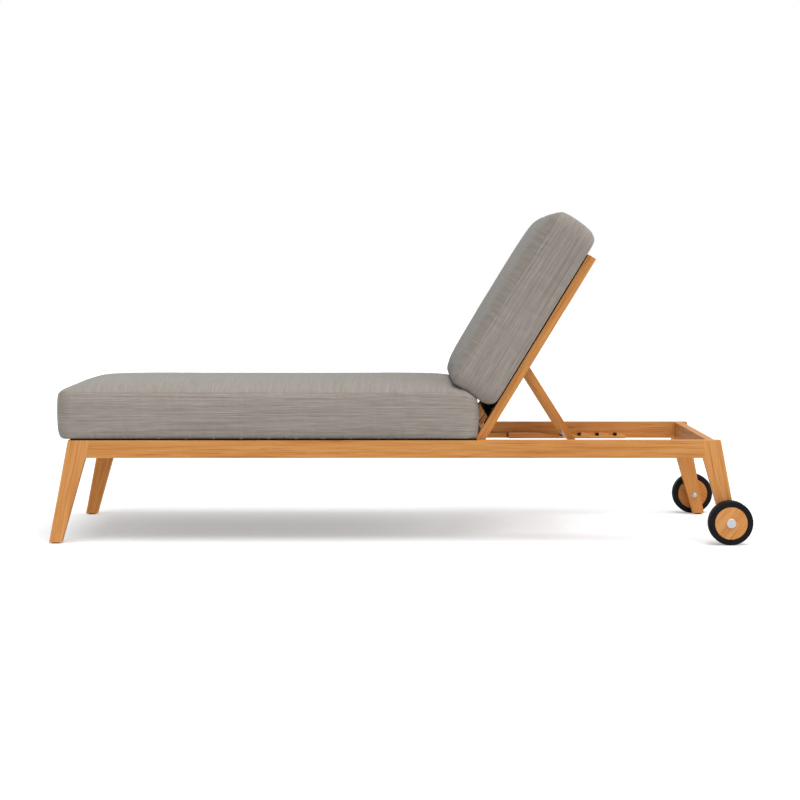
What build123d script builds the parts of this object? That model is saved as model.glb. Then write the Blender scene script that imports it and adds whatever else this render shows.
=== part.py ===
"""Wooden outdoor chaise lounger with an adjustable backrest, two wheels and loose cushions.

Millimetres. X runs from the foot end to the wheeled head end, Y across, Z up.
The origin is on the floor under the middle of the lounger.
"""
import os
from math import cos, radians, sin, tan

from build123d import *

# Overall frame
overall_length = 2032.0
frame_width = 710.0
rail_top = 300.0
rail_height = 51.0
member_thickness = 32.0

# Legs
toe_width = 35.5
leg_shoulder_width = 59.0
leg_splay = 57.5
pad_height = 3.5
pad_radius = 12.0
pad_spigot_radius = 2.5
pad_spigot_length = 14.0
head_leg_lift = 1.2

# Wheels
wheel_radius = 64.0
tyre_depth = 16.5
wheel_width = 38.0
tyre_shoulder = 5.0
axle_to_toe = 31.5
axle_radius = 4.0
hub_bush_radius = 8.0
hub_cap_radius = 13.8
hub_cap_height = 3.2
hub_cap_chamfer = 1.0
wheel_washer_thickness = 3.0
wheel_washer_radius = 11.0
disc_chamfer = 1.5
nut_radius = 5.8
nut_height = 7.0
nut_wall = 2.0
nut_washer_radius = 8.0
nut_washer_thickness = 1.2

# Crossbars
crossbar_thickness = 24.5
crossbar_height = 50.0
end_bar_inset = 15.2
middle_bar_place_share = 0.48
middle_bar_height = 32.0
seat_bar_to_pivot = 29.5

# Strips along the inner faces of the side rails
ledger_width = 12.0
ledger_height = 15.0
ledger_lift = 1.5
ledger_end_gap = 3.0
ledger_screw_inset = 11.0

# Racks
rack_width = 26.0
rack_height = 18.0
rack_lead = 174.5
rack_flat = 91.0
rack_tail = 27.0
rack_tail_drop = 6.0
notch_pitch = 57.2
notch_count = 4
notch_depth = 10.0
notch_floor = 11.0
notch_slack = 3.3
rack_dowel_count = 4
rack_dowel_radius = 4.0
rack_dowel_half_length = 9.0

# Backrest
pivot_to_head_end = 792.5
pivot_drop = 16.5
back_angle = 58.7
back_length = 638.0
back_rail_depth = 26.0
back_rail_width = 22.0
back_rail_gap = 3.0
back_top_rail_width = 45.0
back_bottom_rail_start = 16.0
back_bottom_rail_width = 30.0
stile_width = 45.0
stile_thickness = 12.0
stile_recess = 5.8

# Prop
prop_reach = 269.5
prop_angle = 57.6
prop_depth = 18.5
prop_width = 20.0
prop_spacing = 15.0
rod_radius = 5.0
rod_overhang = 14.0
rod_chamfer = 1.0
rod_clearance = 0.8
rod_pin_radius = 1.5
rod_pin_length = 11.0

# Pivot fittings
pivot_radius = 4.0
bush_wall = 2.0
bolt_head_radius = 8.0
bolt_head_height = 4.0
socket_sides = 6
pivot_washer_radius = 10.0
pivot_grip = 22.0
prop_grip = 15.0
insert_wall = 2.5

# Webbing straps
strap_thickness = 2.5
seat_strap_width = 60.0
seat_strap_gap = 20.0
seat_strap_margin = 22.0
strap_edge_gap = 5.0
back_strap_width = 55.0
back_strap_gap = 12.0
back_strap_start = 85.0
back_strap_end_margin = 26.0
back_strap_edge_gap = 2.0
strap_screw_head_radius = 5.5
strap_screw_head_height = 1.2
strap_screw_radius = 1.8
strap_screw_length = 14.0

# Wood joints and small screws
dowel_radius = 5.0
rail_dowel_half_length = 16.0
bar_dowel_half_length = 24.0
stile_dowel_radius = 3.0
stile_dowel_half_length = 12.0
screw_radius = 1.9
screw_head_radius = 4.0
screw_head_height = 2.0
screw_grip = 10.0

# Cushions
seat_cushion_foot_inset = 29.5
seat_cushion_overhang = 2.0
seat_cushion_width = 704.0
back_cushion_length = 592.0
back_cushion_start = 113.0
back_cushion_width = 694.0
cushion_side = 138.0
cushion_crown = 30.0
cushion_corner = 34.0
cushion_draw_in = 7.0
shoulder_drop = 61.0
shoulder_radius = 125.0

# Clearances
dowel_clearance = 0.1
running_clearance = 0.06
side_play = 0.2
head_play = 0.3
cushion_clearance = 0.3
overrun = 2.0

# Worked out from the sizes above
half_length = overall_length / 2
half_width = frame_width / 2
rail_bottom = rail_top - rail_height
rail_inner = half_width - member_thickness
member_middle = half_width - member_thickness / 2
wheel_x = half_length - wheel_radius
head_toe_x = wheel_x + axle_to_toe
head_leg_bottom = pad_height + head_leg_lift

pivot_x = half_length - pivot_to_head_end
pivot_z = rail_top - pivot_drop
back_outer = rail_inner - back_rail_gap
back_inner = back_outer - back_rail_width
back_middle = (back_outer + back_inner) / 2
back_half_depth = back_rail_depth / 2
prop_outer = back_inner - prop_spacing
prop_inner = prop_outer - prop_width
rod_reach = prop_outer + rod_overhang

back_cos = cos(radians(back_angle))
back_sin = sin(radians(back_angle))
prop_pivot_x = pivot_x + prop_reach * back_cos
prop_pivot_z = pivot_z + prop_reach * back_sin
ledger_bottom = rail_bottom + ledger_lift
rack_top = ledger_bottom + rack_height
rod_z = rack_top + rod_radius + rod_clearance
prop_length = (prop_pivot_z - rod_z) / sin(radians(prop_angle))
rod_x = prop_pivot_x + prop_length * cos(radians(prop_angle))

foot_bar_x = -half_length + leg_splay + end_bar_inset + crossbar_thickness / 2
head_bar_x = head_toe_x - leg_splay - end_bar_inset - crossbar_thickness / 2
seat_bar_x = pivot_x - seat_bar_to_pivot
middle_bar_x = foot_bar_x + middle_bar_place_share * (seat_bar_x - foot_bar_x)
ledger_start = seat_bar_x + crossbar_thickness / 2
rack_inner = rail_inner - ledger_width - rack_width

SIDES = (("left", -1), ("right", 1))


def save(piece, name):
    piece.part.label = name
    export_step(piece.part, f"parts/{name}.step")


def side_plane(sign, inner, outer):
    """XZ plane on the +Y face of a member; extruding from it runs towards -Y."""
    return Plane.XZ.offset(-outer if sign > 0 else inner)


def across(sign, y, x, z):
    """Plane at a point on one side, facing outwards along Y."""
    return Plane(origin=(x, sign * y, z), x_dir=(1, 0, 0), z_dir=(0, sign, 0))


def back_plane(sign, inner, outer):
    """Plane at the backrest pivot, x along the backrest, y out of its front face."""
    y = outer if sign > 0 else -inner
    return Plane(origin=(pivot_x, y, pivot_z), x_dir=(back_cos, 0, back_sin), z_dir=(0, -1, 0))


def back_face(height):
    """Plane parallel to the backrest's front face, at this height over the pivot line."""
    origin = (pivot_x - height * back_sin, 0, pivot_z + height * back_cos)
    return Plane(origin=origin, x_dir=(back_cos, 0, back_sin), z_dir=(-back_sin, 0, back_cos))


def leg_edges(end, toe_x, bottom):
    """Outer and inner edge of a leg as functions of height. end is -1 at the foot, 1 at the head."""
    def outer(z):
        return toe_x - end * leg_splay * (z - bottom) / (rail_top - bottom)

    def inner(z):
        inner_toe = toe_x - end * toe_width
        inner_shoulder = outer(rail_bottom) - end * leg_shoulder_width
        return inner_toe + (inner_shoulder - inner_toe) * (z - bottom) / (rail_bottom - bottom)

    return outer, inner


foot_outer, foot_inner = leg_edges(-1, -half_length, pad_height)
head_outer, head_inner = leg_edges(1, head_toe_x, head_leg_bottom)
foot_shoulder = foot_inner(rail_bottom)
head_shoulder = head_inner(rail_bottom)
rail_joint_heights = (rail_bottom + rail_height / 4, rail_top - rail_height / 4)
foot_pad_x = -half_length + toe_width / 2
head_pad_x = head_toe_x - toe_width / 2


def joint_x(end, z):
    """Where the side rail meets the leg at this height."""
    return foot_inner(z) if end < 0 else head_shoulder


# Places of the dowels between the crossbars and what they meet: (x, heights)
end_bar_heights = (rail_top - crossbar_height / 4, rail_top - crossbar_height * 3 / 4)
middle_bar_heights = (rail_bottom + middle_bar_height / 2,)
leg_bars = (foot_bar_x, head_bar_x)


def foot_leg(sign):
    with BuildPart() as leg:
        with BuildSketch(side_plane(sign, rail_inner, half_width)):
            with BuildLine():
                Polyline(
                    (-half_length, pad_height),
                    (foot_inner(pad_height), pad_height),
                    (foot_inner(rail_top), rail_top),
                    (foot_outer(rail_top), rail_top),
                    close=True,
                )
            make_face()
        extrude(amount=member_thickness)
        for z in rail_joint_heights:
            with Locations(Plane(origin=(foot_inner(z), sign * member_middle, z), z_dir=(1, 0, 0))):
                Cylinder(dowel_radius + dowel_clearance, 2 * (rail_dowel_half_length + dowel_clearance),
                         mode=Mode.SUBTRACT)
        for z in end_bar_heights:
            with Locations(across(sign, rail_inner, foot_bar_x, z)):
                Cylinder(dowel_radius + dowel_clearance, 2 * (bar_dowel_half_length + dowel_clearance),
                         mode=Mode.SUBTRACT)
        with Locations((foot_pad_x, sign * member_middle, pad_height)):
            Cylinder(pad_spigot_radius + dowel_clearance, 2 * (pad_spigot_length + dowel_clearance),
                     mode=Mode.SUBTRACT)
    return leg


def head_leg(sign):
    with BuildPart() as leg:
        with BuildSketch(side_plane(sign, rail_inner, half_width)):
            with BuildLine():
                Polyline(
                    (head_toe_x, head_leg_bottom),
                    (head_outer(rail_top), rail_top),
                    (head_shoulder, rail_top),
                    (head_shoulder, rail_bottom),
                    (head_inner(head_leg_bottom), head_leg_bottom),
                    close=True,
                )
            make_face()
        extrude(amount=member_thickness)
        for z in rail_joint_heights:
            with Locations(Plane(origin=(head_shoulder, sign * member_middle, z), z_dir=(1, 0, 0))):
                Cylinder(dowel_radius + dowel_clearance, 2 * (rail_dowel_half_length + dowel_clearance),
                         mode=Mode.SUBTRACT)
        for z in end_bar_heights:
            with Locations(across(sign, rail_inner, head_bar_x, z)):
                Cylinder(dowel_radius + dowel_clearance, 2 * (bar_dowel_half_length + dowel_clearance),
                         mode=Mode.SUBTRACT)
        with Locations((head_pad_x, sign * member_middle, head_leg_bottom)):
            Cylinder(pad_spigot_radius + dowel_clearance, 2 * (pad_spigot_length + dowel_clearance),
                     mode=Mode.SUBTRACT)
        with Locations(across(sign, member_middle, wheel_x, wheel_radius)):
            Cylinder(axle_radius + dowel_clearance, member_thickness + 2 * overrun, mode=Mode.SUBTRACT)
    return leg


def foot_pads():
    with BuildPart() as pads:
        for x, bottom in ((foot_pad_x, 0), (head_pad_x, head_leg_lift)):
            for _, sign in SIDES:
                with Locations((x, sign * member_middle, bottom)):
                    Cylinder(pad_radius, pad_height, align=(Align.CENTER, Align.CENTER, Align.MIN))
                with Locations((x, sign * member_middle, bottom + pad_height)):
                    Cylinder(pad_spigot_radius, pad_spigot_length,
                             align=(Align.CENTER, Align.CENTER, Align.MIN))
    return pads


# Screw places along the ledgers, and strap places along the seat and the backrest
ledger_stop = head_shoulder - ledger_end_gap
ledger_middle_z = ledger_bottom + ledger_height / 2
first_wall = rod_x + rod_radius + notch_slack
rack_start = first_wall - rack_lead
rack_stop = first_wall + notch_pitch * (notch_count - 1) + rack_tail
tail_screw_x = ledger_stop - ledger_screw_inset
screws_before = (rack_start - ledger_start) / 2 + ledger_start
screws_after = (rack_stop + tail_screw_x) / 2
ledger_screw_xs = (screws_before, screws_after, tail_screw_x)
rack_dowel_pitch = (rack_stop - rack_start) / rack_dowel_count
rack_dowel_xs = [rack_start + rack_dowel_pitch * (i + 1 / 2) for i in range(rack_dowel_count)]
seat_strap_first = foot_shoulder + seat_strap_margin + seat_strap_width / 2
seat_strap_last = seat_bar_x - seat_strap_width / 2 + crossbar_thickness / 2
back_strap_first = back_strap_start + back_strap_width / 2
back_strap_last = back_length - back_strap_end_margin - back_strap_width / 2


def spread(first, last, width, gap):
    """Middles of straps from the first to the last, about this far apart."""
    steps = round((last - first) / (width + gap))
    return [first + i * (last - first) / steps for i in range(steps + 1)]


seat_strap_xs = spread(seat_strap_first, seat_strap_last, seat_strap_width, seat_strap_gap)
back_strap_us = spread(back_strap_first, back_strap_last, back_strap_width, back_strap_gap)


def side_rail(sign):
    with BuildPart() as rail:
        with BuildSketch(side_plane(sign, rail_inner, half_width)):
            with BuildLine():
                Polyline(
                    (foot_shoulder, rail_bottom),
                    (head_shoulder, rail_bottom),
                    (head_shoulder, rail_top),
                    (foot_inner(rail_top), rail_top),
                    close=True,
                )
            make_face()
        extrude(amount=member_thickness)
        for end in (-1, 1):
            for z in rail_joint_heights:
                with Locations(Plane(origin=(joint_x(end, z), sign * member_middle, z), z_dir=(1, 0, 0))):
                    Cylinder(dowel_radius + dowel_clearance, 2 * (rail_dowel_half_length + dowel_clearance),
                             mode=Mode.SUBTRACT)
        for x, heights in ((middle_bar_x, middle_bar_heights), (seat_bar_x, end_bar_heights)):
            for z in heights:
                with Locations(across(sign, rail_inner, x, z)):
                    Cylinder(dowel_radius + dowel_clearance, 2 * (bar_dowel_half_length + dowel_clearance),
                             mode=Mode.SUBTRACT)
        for x in ledger_screw_xs:
            with Locations(across(sign, rail_inner, x, ledger_middle_z)):
                Cylinder(screw_radius, 2 * screw_grip, mode=Mode.SUBTRACT)
        with Locations(across(sign, rail_inner, pivot_x, pivot_z)):
            Cylinder(pivot_radius + insert_wall + dowel_clearance, 2 * (pivot_grip + dowel_clearance),
                     mode=Mode.SUBTRACT)
        for x in seat_strap_xs:
            with Locations((x, sign * member_middle, rail_top)):
                Cylinder(strap_screw_radius, 2 * strap_screw_length, mode=Mode.SUBTRACT)
    return rail


def crossbar(x, bottom, height, heights):
    with BuildPart() as bar:
        with Locations((x, 0, bottom)):
            Box(crossbar_thickness, 2 * rail_inner, height, align=(Align.CENTER, Align.CENTER, Align.MIN))
        for _, sign in SIDES:
            for z in heights:
                with Locations(across(sign, rail_inner, x, z)):
                    Cylinder(dowel_radius + dowel_clearance, 2 * (bar_dowel_half_length + dowel_clearance),
                             mode=Mode.SUBTRACT)
    return bar


def rail_dowels():
    with BuildPart() as dowels:
        for _, sign in SIDES:
            for end in (-1, 1):
                for z in rail_joint_heights:
                    with Locations(Plane(origin=(joint_x(end, z), sign * member_middle, z),
                                         z_dir=(1, 0, 0))):
                        Cylinder(dowel_radius, 2 * rail_dowel_half_length)
    return dowels


def crossbar_dowels():
    bars = [(x, z) for x in leg_bars + (seat_bar_x,) for z in end_bar_heights]
    bars += [(middle_bar_x, z) for z in middle_bar_heights]
    with BuildPart() as dowels:
        for _, sign in SIDES:
            for x, z in bars:
                with Locations(across(sign, rail_inner, x, z)):
                    Cylinder(dowel_radius, 2 * bar_dowel_half_length)
    return dowels


def ledger(sign):
    with BuildPart() as strip:
        with Locations((ledger_start, sign * (rail_inner - ledger_width / 2), ledger_bottom)):
            Box(ledger_stop - ledger_start, ledger_width, ledger_height,
                align=(Align.MIN, Align.CENTER, Align.MIN))
        for x in ledger_screw_xs:
            with Locations(across(sign, rail_inner, x, ledger_middle_z)):
                Cylinder(screw_radius, 2 * (ledger_width + overrun), mode=Mode.SUBTRACT)
        for x in rack_dowel_xs:
            with Locations(across(sign, rail_inner - ledger_width, x, ledger_middle_z)):
                Cylinder(rack_dowel_radius + dowel_clearance, 2 * (rack_dowel_half_length + dowel_clearance),
                         mode=Mode.SUBTRACT)
    return strip


def rack(sign):
    """Strip with saw-tooth notches; each notch has its upright wall on the head side."""
    with BuildPart() as strip:
        with BuildSketch(side_plane(sign, rack_inner, rack_inner + rack_width)):
            with BuildLine():
                points = [(rack_start, ledger_bottom), (rack_start, rack_top)]
                points += [(rack_start + rack_flat, rack_top)]
                for i in range(notch_count):
                    wall = first_wall + i * notch_pitch
                    points += [(wall - notch_floor, rack_top - notch_depth)]
                    points += [(wall, rack_top - notch_depth), (wall, rack_top)]
                points += [(rack_stop, rack_top - rack_tail_drop), (rack_stop, ledger_bottom)]
                Polyline(*points, close=True)
            make_face()
        extrude(amount=rack_width)
        for x in rack_dowel_xs:
            with Locations(across(sign, rail_inner - ledger_width, x, ledger_middle_z)):
                Cylinder(rack_dowel_radius + dowel_clearance, 2 * (rack_dowel_half_length + dowel_clearance),
                         mode=Mode.SUBTRACT)
    return strip


def rack_dowels():
    with BuildPart() as dowels:
        for _, sign in SIDES:
            for x in rack_dowel_xs:
                with Locations(across(sign, rail_inner - ledger_width, x, ledger_middle_z)):
                    Cylinder(rack_dowel_radius, 2 * rack_dowel_half_length)
    return dowels


def ledger_screws():
    with BuildPart() as screws:
        for _, sign in SIDES:
            for x in ledger_screw_xs:
                with Locations(across(sign, rail_inner - ledger_width, x, ledger_middle_z)):
                    Cylinder(screw_head_radius, screw_head_height,
                             align=(Align.CENTER, Align.CENTER, Align.MAX))
                    Cylinder(screw_radius - dowel_clearance, ledger_width + screw_grip - dowel_clearance,
                             align=(Align.CENTER, Align.CENTER, Align.MIN))
    return screws


def seat_straps():
    length = 2 * (half_width - strap_edge_gap)
    with BuildPart() as straps:
        for x in seat_strap_xs:
            with Locations((x, 0, rail_top)):
                Box(seat_strap_width, length, strap_thickness,
                    align=(Align.CENTER, Align.CENTER, Align.MIN))
            for _, sign in SIDES:
                with Locations((x, sign * member_middle, rail_top)):
                    Cylinder(strap_screw_radius, 2 * (strap_thickness + overrun), mode=Mode.SUBTRACT)
    return straps


def seat_strap_screws():
    shank = strap_thickness + strap_screw_length - dowel_clearance
    with BuildPart() as screws:
        for x in seat_strap_xs:
            for _, sign in SIDES:
                with Locations((x, sign * member_middle, rail_top + strap_thickness)):
                    Cylinder(strap_screw_head_radius, strap_screw_head_height,
                             align=(Align.CENTER, Align.CENTER, Align.MIN))
                    Cylinder(strap_screw_radius - dowel_clearance, shank,
                             align=(Align.CENTER, Align.CENTER, Align.MAX))
    return screws


# Dowel places between the backrest's rails: two in the top rail, one in the narrow bottom rail
back_dowel_half = back_rail_width - dowel_radius
back_top_start = back_length - back_top_rail_width
back_bar_us = (
    back_bottom_rail_start + back_bottom_rail_width / 2,
    back_top_start + back_top_rail_width / 4,
    back_top_start + back_top_rail_width * 3 / 4,
)
stile_start = back_bottom_rail_start + back_bottom_rail_width
stile_middle = back_half_depth - stile_recess - stile_thickness / 2
stile_dowel_ys = (-stile_width / 4, stile_width / 4)


def back_rail(sign):
    """Upright with a rounded lower end round the pivot and a square upper end."""
    with BuildPart() as rail:
        with BuildSketch(back_plane(sign, back_inner, back_outer)):
            with BuildLine():
                Line((0, back_half_depth), (back_length, back_half_depth))
                Line((back_length, back_half_depth), (back_length, -back_half_depth))
                Line((back_length, -back_half_depth), (0, -back_half_depth))
                ThreePointArc((0, -back_half_depth), (-back_half_depth, 0), (0, back_half_depth))
            make_face()
        extrude(amount=back_rail_width)
        with Locations(across(sign, back_middle, pivot_x, pivot_z)):
            Cylinder(pivot_radius + bush_wall, back_rail_width + 2 * overrun, mode=Mode.SUBTRACT)
        with Locations(across(sign, back_inner, prop_pivot_x, prop_pivot_z)):
            Cylinder(pivot_radius + dowel_clearance, 2 * (prop_grip + dowel_clearance), mode=Mode.SUBTRACT)
        plane = back_face(0)
        for u in back_bar_us:
            with Locations(Plane(origin=plane.from_local_coords((u, sign * back_inner, 0)),
                                 x_dir=plane.x_dir, z_dir=(0, sign, 0))):
                Cylinder(dowel_radius + dowel_clearance, 2 * (back_dowel_half + dowel_clearance),
                         mode=Mode.SUBTRACT)
        face = back_face(back_half_depth)
        for u in back_strap_us:
            with Locations(Plane(origin=face.from_local_coords((u, sign * back_middle, 0)),
                                 x_dir=face.x_dir, z_dir=face.z_dir)):
                Cylinder(strap_screw_radius, 2 * strap_screw_length, mode=Mode.SUBTRACT)
    return rail


def back_cross_rail(start, width, dowel_us, stile_u):
    with BuildPart() as bar:
        with BuildSketch(back_face(-back_half_depth)):
            with Locations((start + width / 2, 0)):
                Rectangle(width, 2 * back_inner)
        extrude(amount=back_rail_depth)
        plane = back_face(0)
        for _, sign in SIDES:
            for u in dowel_us:
                with Locations(Plane(origin=plane.from_local_coords((u, sign * back_inner, 0)),
                                     x_dir=plane.x_dir, z_dir=(0, sign, 0))):
                    Cylinder(dowel_radius + dowel_clearance, 2 * (back_dowel_half + dowel_clearance),
                             mode=Mode.SUBTRACT)
        middle = back_face(stile_middle)
        for y in stile_dowel_ys:
            with Locations(Plane(origin=middle.from_local_coords((stile_u, y, 0)),
                                 x_dir=(0, 1, 0), z_dir=middle.x_dir)):
                Cylinder(stile_dowel_radius + dowel_clearance,
                         2 * (stile_dowel_half_length + dowel_clearance), mode=Mode.SUBTRACT)
    return bar


def back_stile():
    with BuildPart() as stile:
        with BuildSketch(back_face(stile_middle - stile_thickness / 2)):
            with Locations(((stile_start + back_top_start) / 2, 0)):
                Rectangle(back_top_start - stile_start, stile_width)
        extrude(amount=stile_thickness)
        middle = back_face(stile_middle)
        for u in (stile_start, back_top_start):
            for y in stile_dowel_ys:
                with Locations(Plane(origin=middle.from_local_coords((u, y, 0)),
                                     x_dir=(0, 1, 0), z_dir=middle.x_dir)):
                    Cylinder(stile_dowel_radius + dowel_clearance,
                             2 * (stile_dowel_half_length + dowel_clearance), mode=Mode.SUBTRACT)
    return stile


def back_dowels():
    with BuildPart() as dowels:
        plane = back_face(0)
        for _, sign in SIDES:
            for u in back_bar_us:
                with Locations(Plane(origin=plane.from_local_coords((u, sign * back_inner, 0)),
                                     x_dir=plane.x_dir, z_dir=(0, sign, 0))):
                    Cylinder(dowel_radius, 2 * back_dowel_half)
        middle = back_face(stile_middle)
        for u in (stile_start, back_top_start):
            for y in stile_dowel_ys:
                with Locations(Plane(origin=middle.from_local_coords((u, y, 0)),
                                     x_dir=(0, 1, 0), z_dir=middle.x_dir)):
                    Cylinder(stile_dowel_radius, 2 * stile_dowel_half_length)
    return dowels


def back_straps():
    with BuildPart() as straps:
        with BuildSketch(back_face(back_half_depth)):
            with Locations(*[(u, 0) for u in back_strap_us]):
                Rectangle(back_strap_width, 2 * (back_outer - back_strap_edge_gap))
            holes = [(u, sign * back_middle) for u in back_strap_us for _, sign in SIDES]
            with Locations(*holes):
                Circle(strap_screw_radius, mode=Mode.SUBTRACT)
        extrude(amount=strap_thickness)
    return straps


def back_strap_screws():
    shank = strap_thickness + strap_screw_length - dowel_clearance
    places = [(u, sign * back_middle) for u in back_strap_us for _, sign in SIDES]
    with BuildPart() as screws:
        with BuildSketch(back_face(back_half_depth + strap_thickness)):
            with Locations(*places):
                Circle(strap_screw_head_radius)
        extrude(amount=strap_screw_head_height)
        with BuildSketch(back_face(back_half_depth + strap_thickness)):
            with Locations(*places):
                Circle(strap_screw_radius - dowel_clearance)
        extrude(amount=-shank)
    return screws


def sleeves(x, z, radius, bore, inner, outer):
    """A pair of round sleeves along Y, one on each side."""
    with BuildPart() as pair:
        for _, sign in SIDES:
            with Locations(across(sign, inner, x, z)):
                Cylinder(radius, outer - inner, align=(Align.CENTER, Align.CENTER, Align.MIN))
                Cylinder(bore, 2 * (outer - inner), mode=Mode.SUBTRACT)
    return pair


def headed_bolts(x, z, radius, head_inner, shank_inner, shank_outer):
    """A pair of bolts along Y with their heads on the inside."""
    with BuildPart() as pair:
        for _, sign in SIDES:
            with Locations(across(sign, head_inner, x, z)):
                Cylinder(bolt_head_radius, shank_inner - head_inner,
                         align=(Align.CENTER, Align.CENTER, Align.MIN))
            with Locations(across(sign, shank_inner, x, z)):
                Cylinder(radius, shank_outer - shank_inner, align=(Align.CENTER, Align.CENTER, Align.MIN))
            with BuildSketch(across(sign, head_inner, x, z)):
                RegularPolygon(bolt_head_radius / 2, socket_sides)
            extrude(amount=bolt_head_height / 2, mode=Mode.SUBTRACT)
    return pair


def prop_leg(sign):
    """Flat bar from the backrest down to the rod, rounded at both ends."""
    plane = Plane(
        origin=(prop_pivot_x, prop_outer if sign > 0 else -prop_inner, prop_pivot_z),
        x_dir=(cos(radians(prop_angle)), 0, -sin(radians(prop_angle))),
        z_dir=(0, -1, 0),
    )
    half = prop_depth / 2
    with BuildPart() as leg:
        with BuildSketch(plane):
            with BuildLine():
                Line((0, half), (prop_length, half))
                ThreePointArc((prop_length, half), (prop_length + half, 0), (prop_length, -half))
                Line((prop_length, -half), (0, -half))
                ThreePointArc((0, -half), (-half, 0), (0, half))
            make_face()
            Circle(pivot_radius + bush_wall, mode=Mode.SUBTRACT)
            with Locations((prop_length, 0)):
                Circle(rod_radius + running_clearance, mode=Mode.SUBTRACT)
        extrude(amount=prop_width)
        with Locations(Plane(origin=rod_pin_place(sign), z_dir=prop_direction)):
            Cylinder(rod_pin_radius + running_clearance, 2 * rod_pin_length, mode=Mode.SUBTRACT)
    return leg


prop_direction = (cos(radians(prop_angle)), 0, -sin(radians(prop_angle)))


def rod_pin_place(sign):
    """Where a set screw enters the lower end of a prop leg."""
    reach = prop_depth / 2
    return (rod_x + reach * prop_direction[0], sign * (prop_outer - prop_width / 2),
            rod_z + reach * prop_direction[2])


def prop_rod():
    with BuildPart() as rod:
        with Locations(across(1, 0, rod_x, rod_z)):
            Cylinder(rod_radius, 2 * rod_reach)
        chamfer(rod.edges().filter_by(GeomType.CIRCLE), rod_chamfer)
        for _, sign in SIDES:
            with Locations(Plane(origin=rod_pin_place(sign), z_dir=prop_direction)):
                Cylinder(rod_pin_radius + running_clearance, 2 * rod_pin_length, mode=Mode.SUBTRACT)
    return rod


def rod_pins():
    with BuildPart() as pins:
        for _, sign in SIDES:
            with Locations(Plane(origin=rod_pin_place(sign), z_dir=prop_direction)):
                Cylinder(rod_pin_radius, rod_pin_length - running_clearance,
                         align=(Align.CENTER, Align.CENTER, Align.MAX))
    return pins


wheel_inner = half_width + wheel_washer_thickness + side_play
wheel_outer = wheel_inner + wheel_width
disc_radius = wheel_radius - tyre_depth


def tyre(sign):
    with BuildPart() as ring:
        with BuildSketch(across(sign, wheel_inner, wheel_x, wheel_radius)):
            Circle(wheel_radius)
            Circle(disc_radius, mode=Mode.SUBTRACT)
        extrude(amount=wheel_width)
        rims = ring.edges().filter_by(GeomType.CIRCLE).group_by(SortBy.RADIUS)[-1]
        fillet(rims, tyre_shoulder)
    return ring


def wheel_disc(sign):
    with BuildPart() as disc:
        with BuildSketch(across(sign, wheel_inner, wheel_x, wheel_radius)):
            Circle(disc_radius - dowel_clearance)
            Circle(hub_bush_radius + dowel_clearance, mode=Mode.SUBTRACT)
        extrude(amount=wheel_width)
        rims = disc.edges().filter_by(GeomType.CIRCLE).group_by(SortBy.RADIUS)[-1]
        chamfer(rims, disc_chamfer)
    return disc


def hub_bush(sign):
    with BuildPart() as bush:
        with BuildSketch(across(sign, wheel_inner, wheel_x, wheel_radius)):
            Circle(hub_bush_radius)
            Circle(axle_radius + running_clearance, mode=Mode.SUBTRACT)
        extrude(amount=wheel_width)
    return bush


nut_inner = rail_inner - nut_washer_thickness - nut_height
axle_tip = nut_inner + nut_wall


def axle_bolt(sign):
    """Bolt through the wheel and the leg; its wide low head is the cap seen outside."""
    cap_start = wheel_outer + side_play
    with BuildPart() as bolt:
        with BuildSketch(across(sign, axle_tip, wheel_x, wheel_radius)):
            Circle(axle_radius)
        extrude(amount=cap_start - axle_tip)
        with BuildSketch(across(sign, cap_start, wheel_x, wheel_radius)):
            Circle(hub_cap_radius)
        extrude(amount=hub_cap_height)
        rim = bolt.faces().sort_by(Axis.Y)[-1 if sign > 0 else 0].edges()
        chamfer(rim, hub_cap_chamfer)
    return bolt


def axle_nuts():
    with BuildPart() as nuts:
        for _, sign in SIDES:
            with Locations(across(sign, nut_inner, wheel_x, wheel_radius)):
                Cylinder(nut_radius, nut_height, align=(Align.CENTER, Align.CENTER, Align.MIN))
        outer_faces = nuts.faces().filter_by(Axis.Y).sort_by(Axis.Y)
        fillet(outer_faces[1].edges() + outer_faces[2].edges(), nut_radius / 2)
        for _, sign in SIDES:
            with Locations(across(sign, axle_tip - dowel_clearance, wheel_x, wheel_radius)):
                Cylinder(axle_radius + dowel_clearance, nut_height, mode=Mode.SUBTRACT,
                         align=(Align.CENTER, Align.CENTER, Align.MIN))
    return nuts


# The cushion's section, as shares of its side height, its edge ease and its crown
side_foot_share = 0.1
side_foot_inset_share = 0.25
side_swell_share = 0.52
side_neck_share = 0.93
side_neck_inset_share = 0.28
seam_inset_share = 0.55
crown_shares = ((0, 0), (0.45, 0.07), (0.73, 0.18), (0.88, 0.36), (0.965, 0.62), (1, 1))
corner_growth_share = 0.05
crown_run_share = 0.78
seat_edge_ease = 15.0
back_edge_ease = 24.0


def cushion_outline(a, b, corner):
    """Points of a rounded rectangle with drawn-in sides: arc ends and arc middles in turn."""
    lift = corner * (1 - sin(radians(45)))
    side_end = (a, corner - b)
    side_middle = (a - cushion_draw_in, 0)
    corner_start = (a, b - corner)
    corner_middle = (a - lift, b - lift)
    long_start = (a - corner, b)
    long_middle = (0, b - cushion_draw_in)
    quarter = [side_end, side_middle, corner_start, corner_middle, long_start, long_middle]
    quarter += [(-x, y) for x, y in (long_start, corner_middle, corner_start, side_middle)]
    return quarter + [(x, -y) for x, y in ((-a, b - corner), (lift - a, b - lift), (corner - a, b),
                                           long_middle, long_start, corner_middle, corner_start)]


def cushion_layer(place, length, width, levels, seam_inset):
    with BuildPart() as layer:
        for height, inset in levels:
            corner = cushion_corner + (inset - seam_inset) * corner_growth_share
            points = cushion_outline(length / 2 - inset, width / 2 - inset, corner)
            with BuildSketch(place(height)):
                with BuildLine():
                    for start, middle, end in zip(points[0::2], points[1::2], points[2::2]):
                        ThreePointArc(start, middle, end)
                make_face()
        loft()
    return layer


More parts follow.
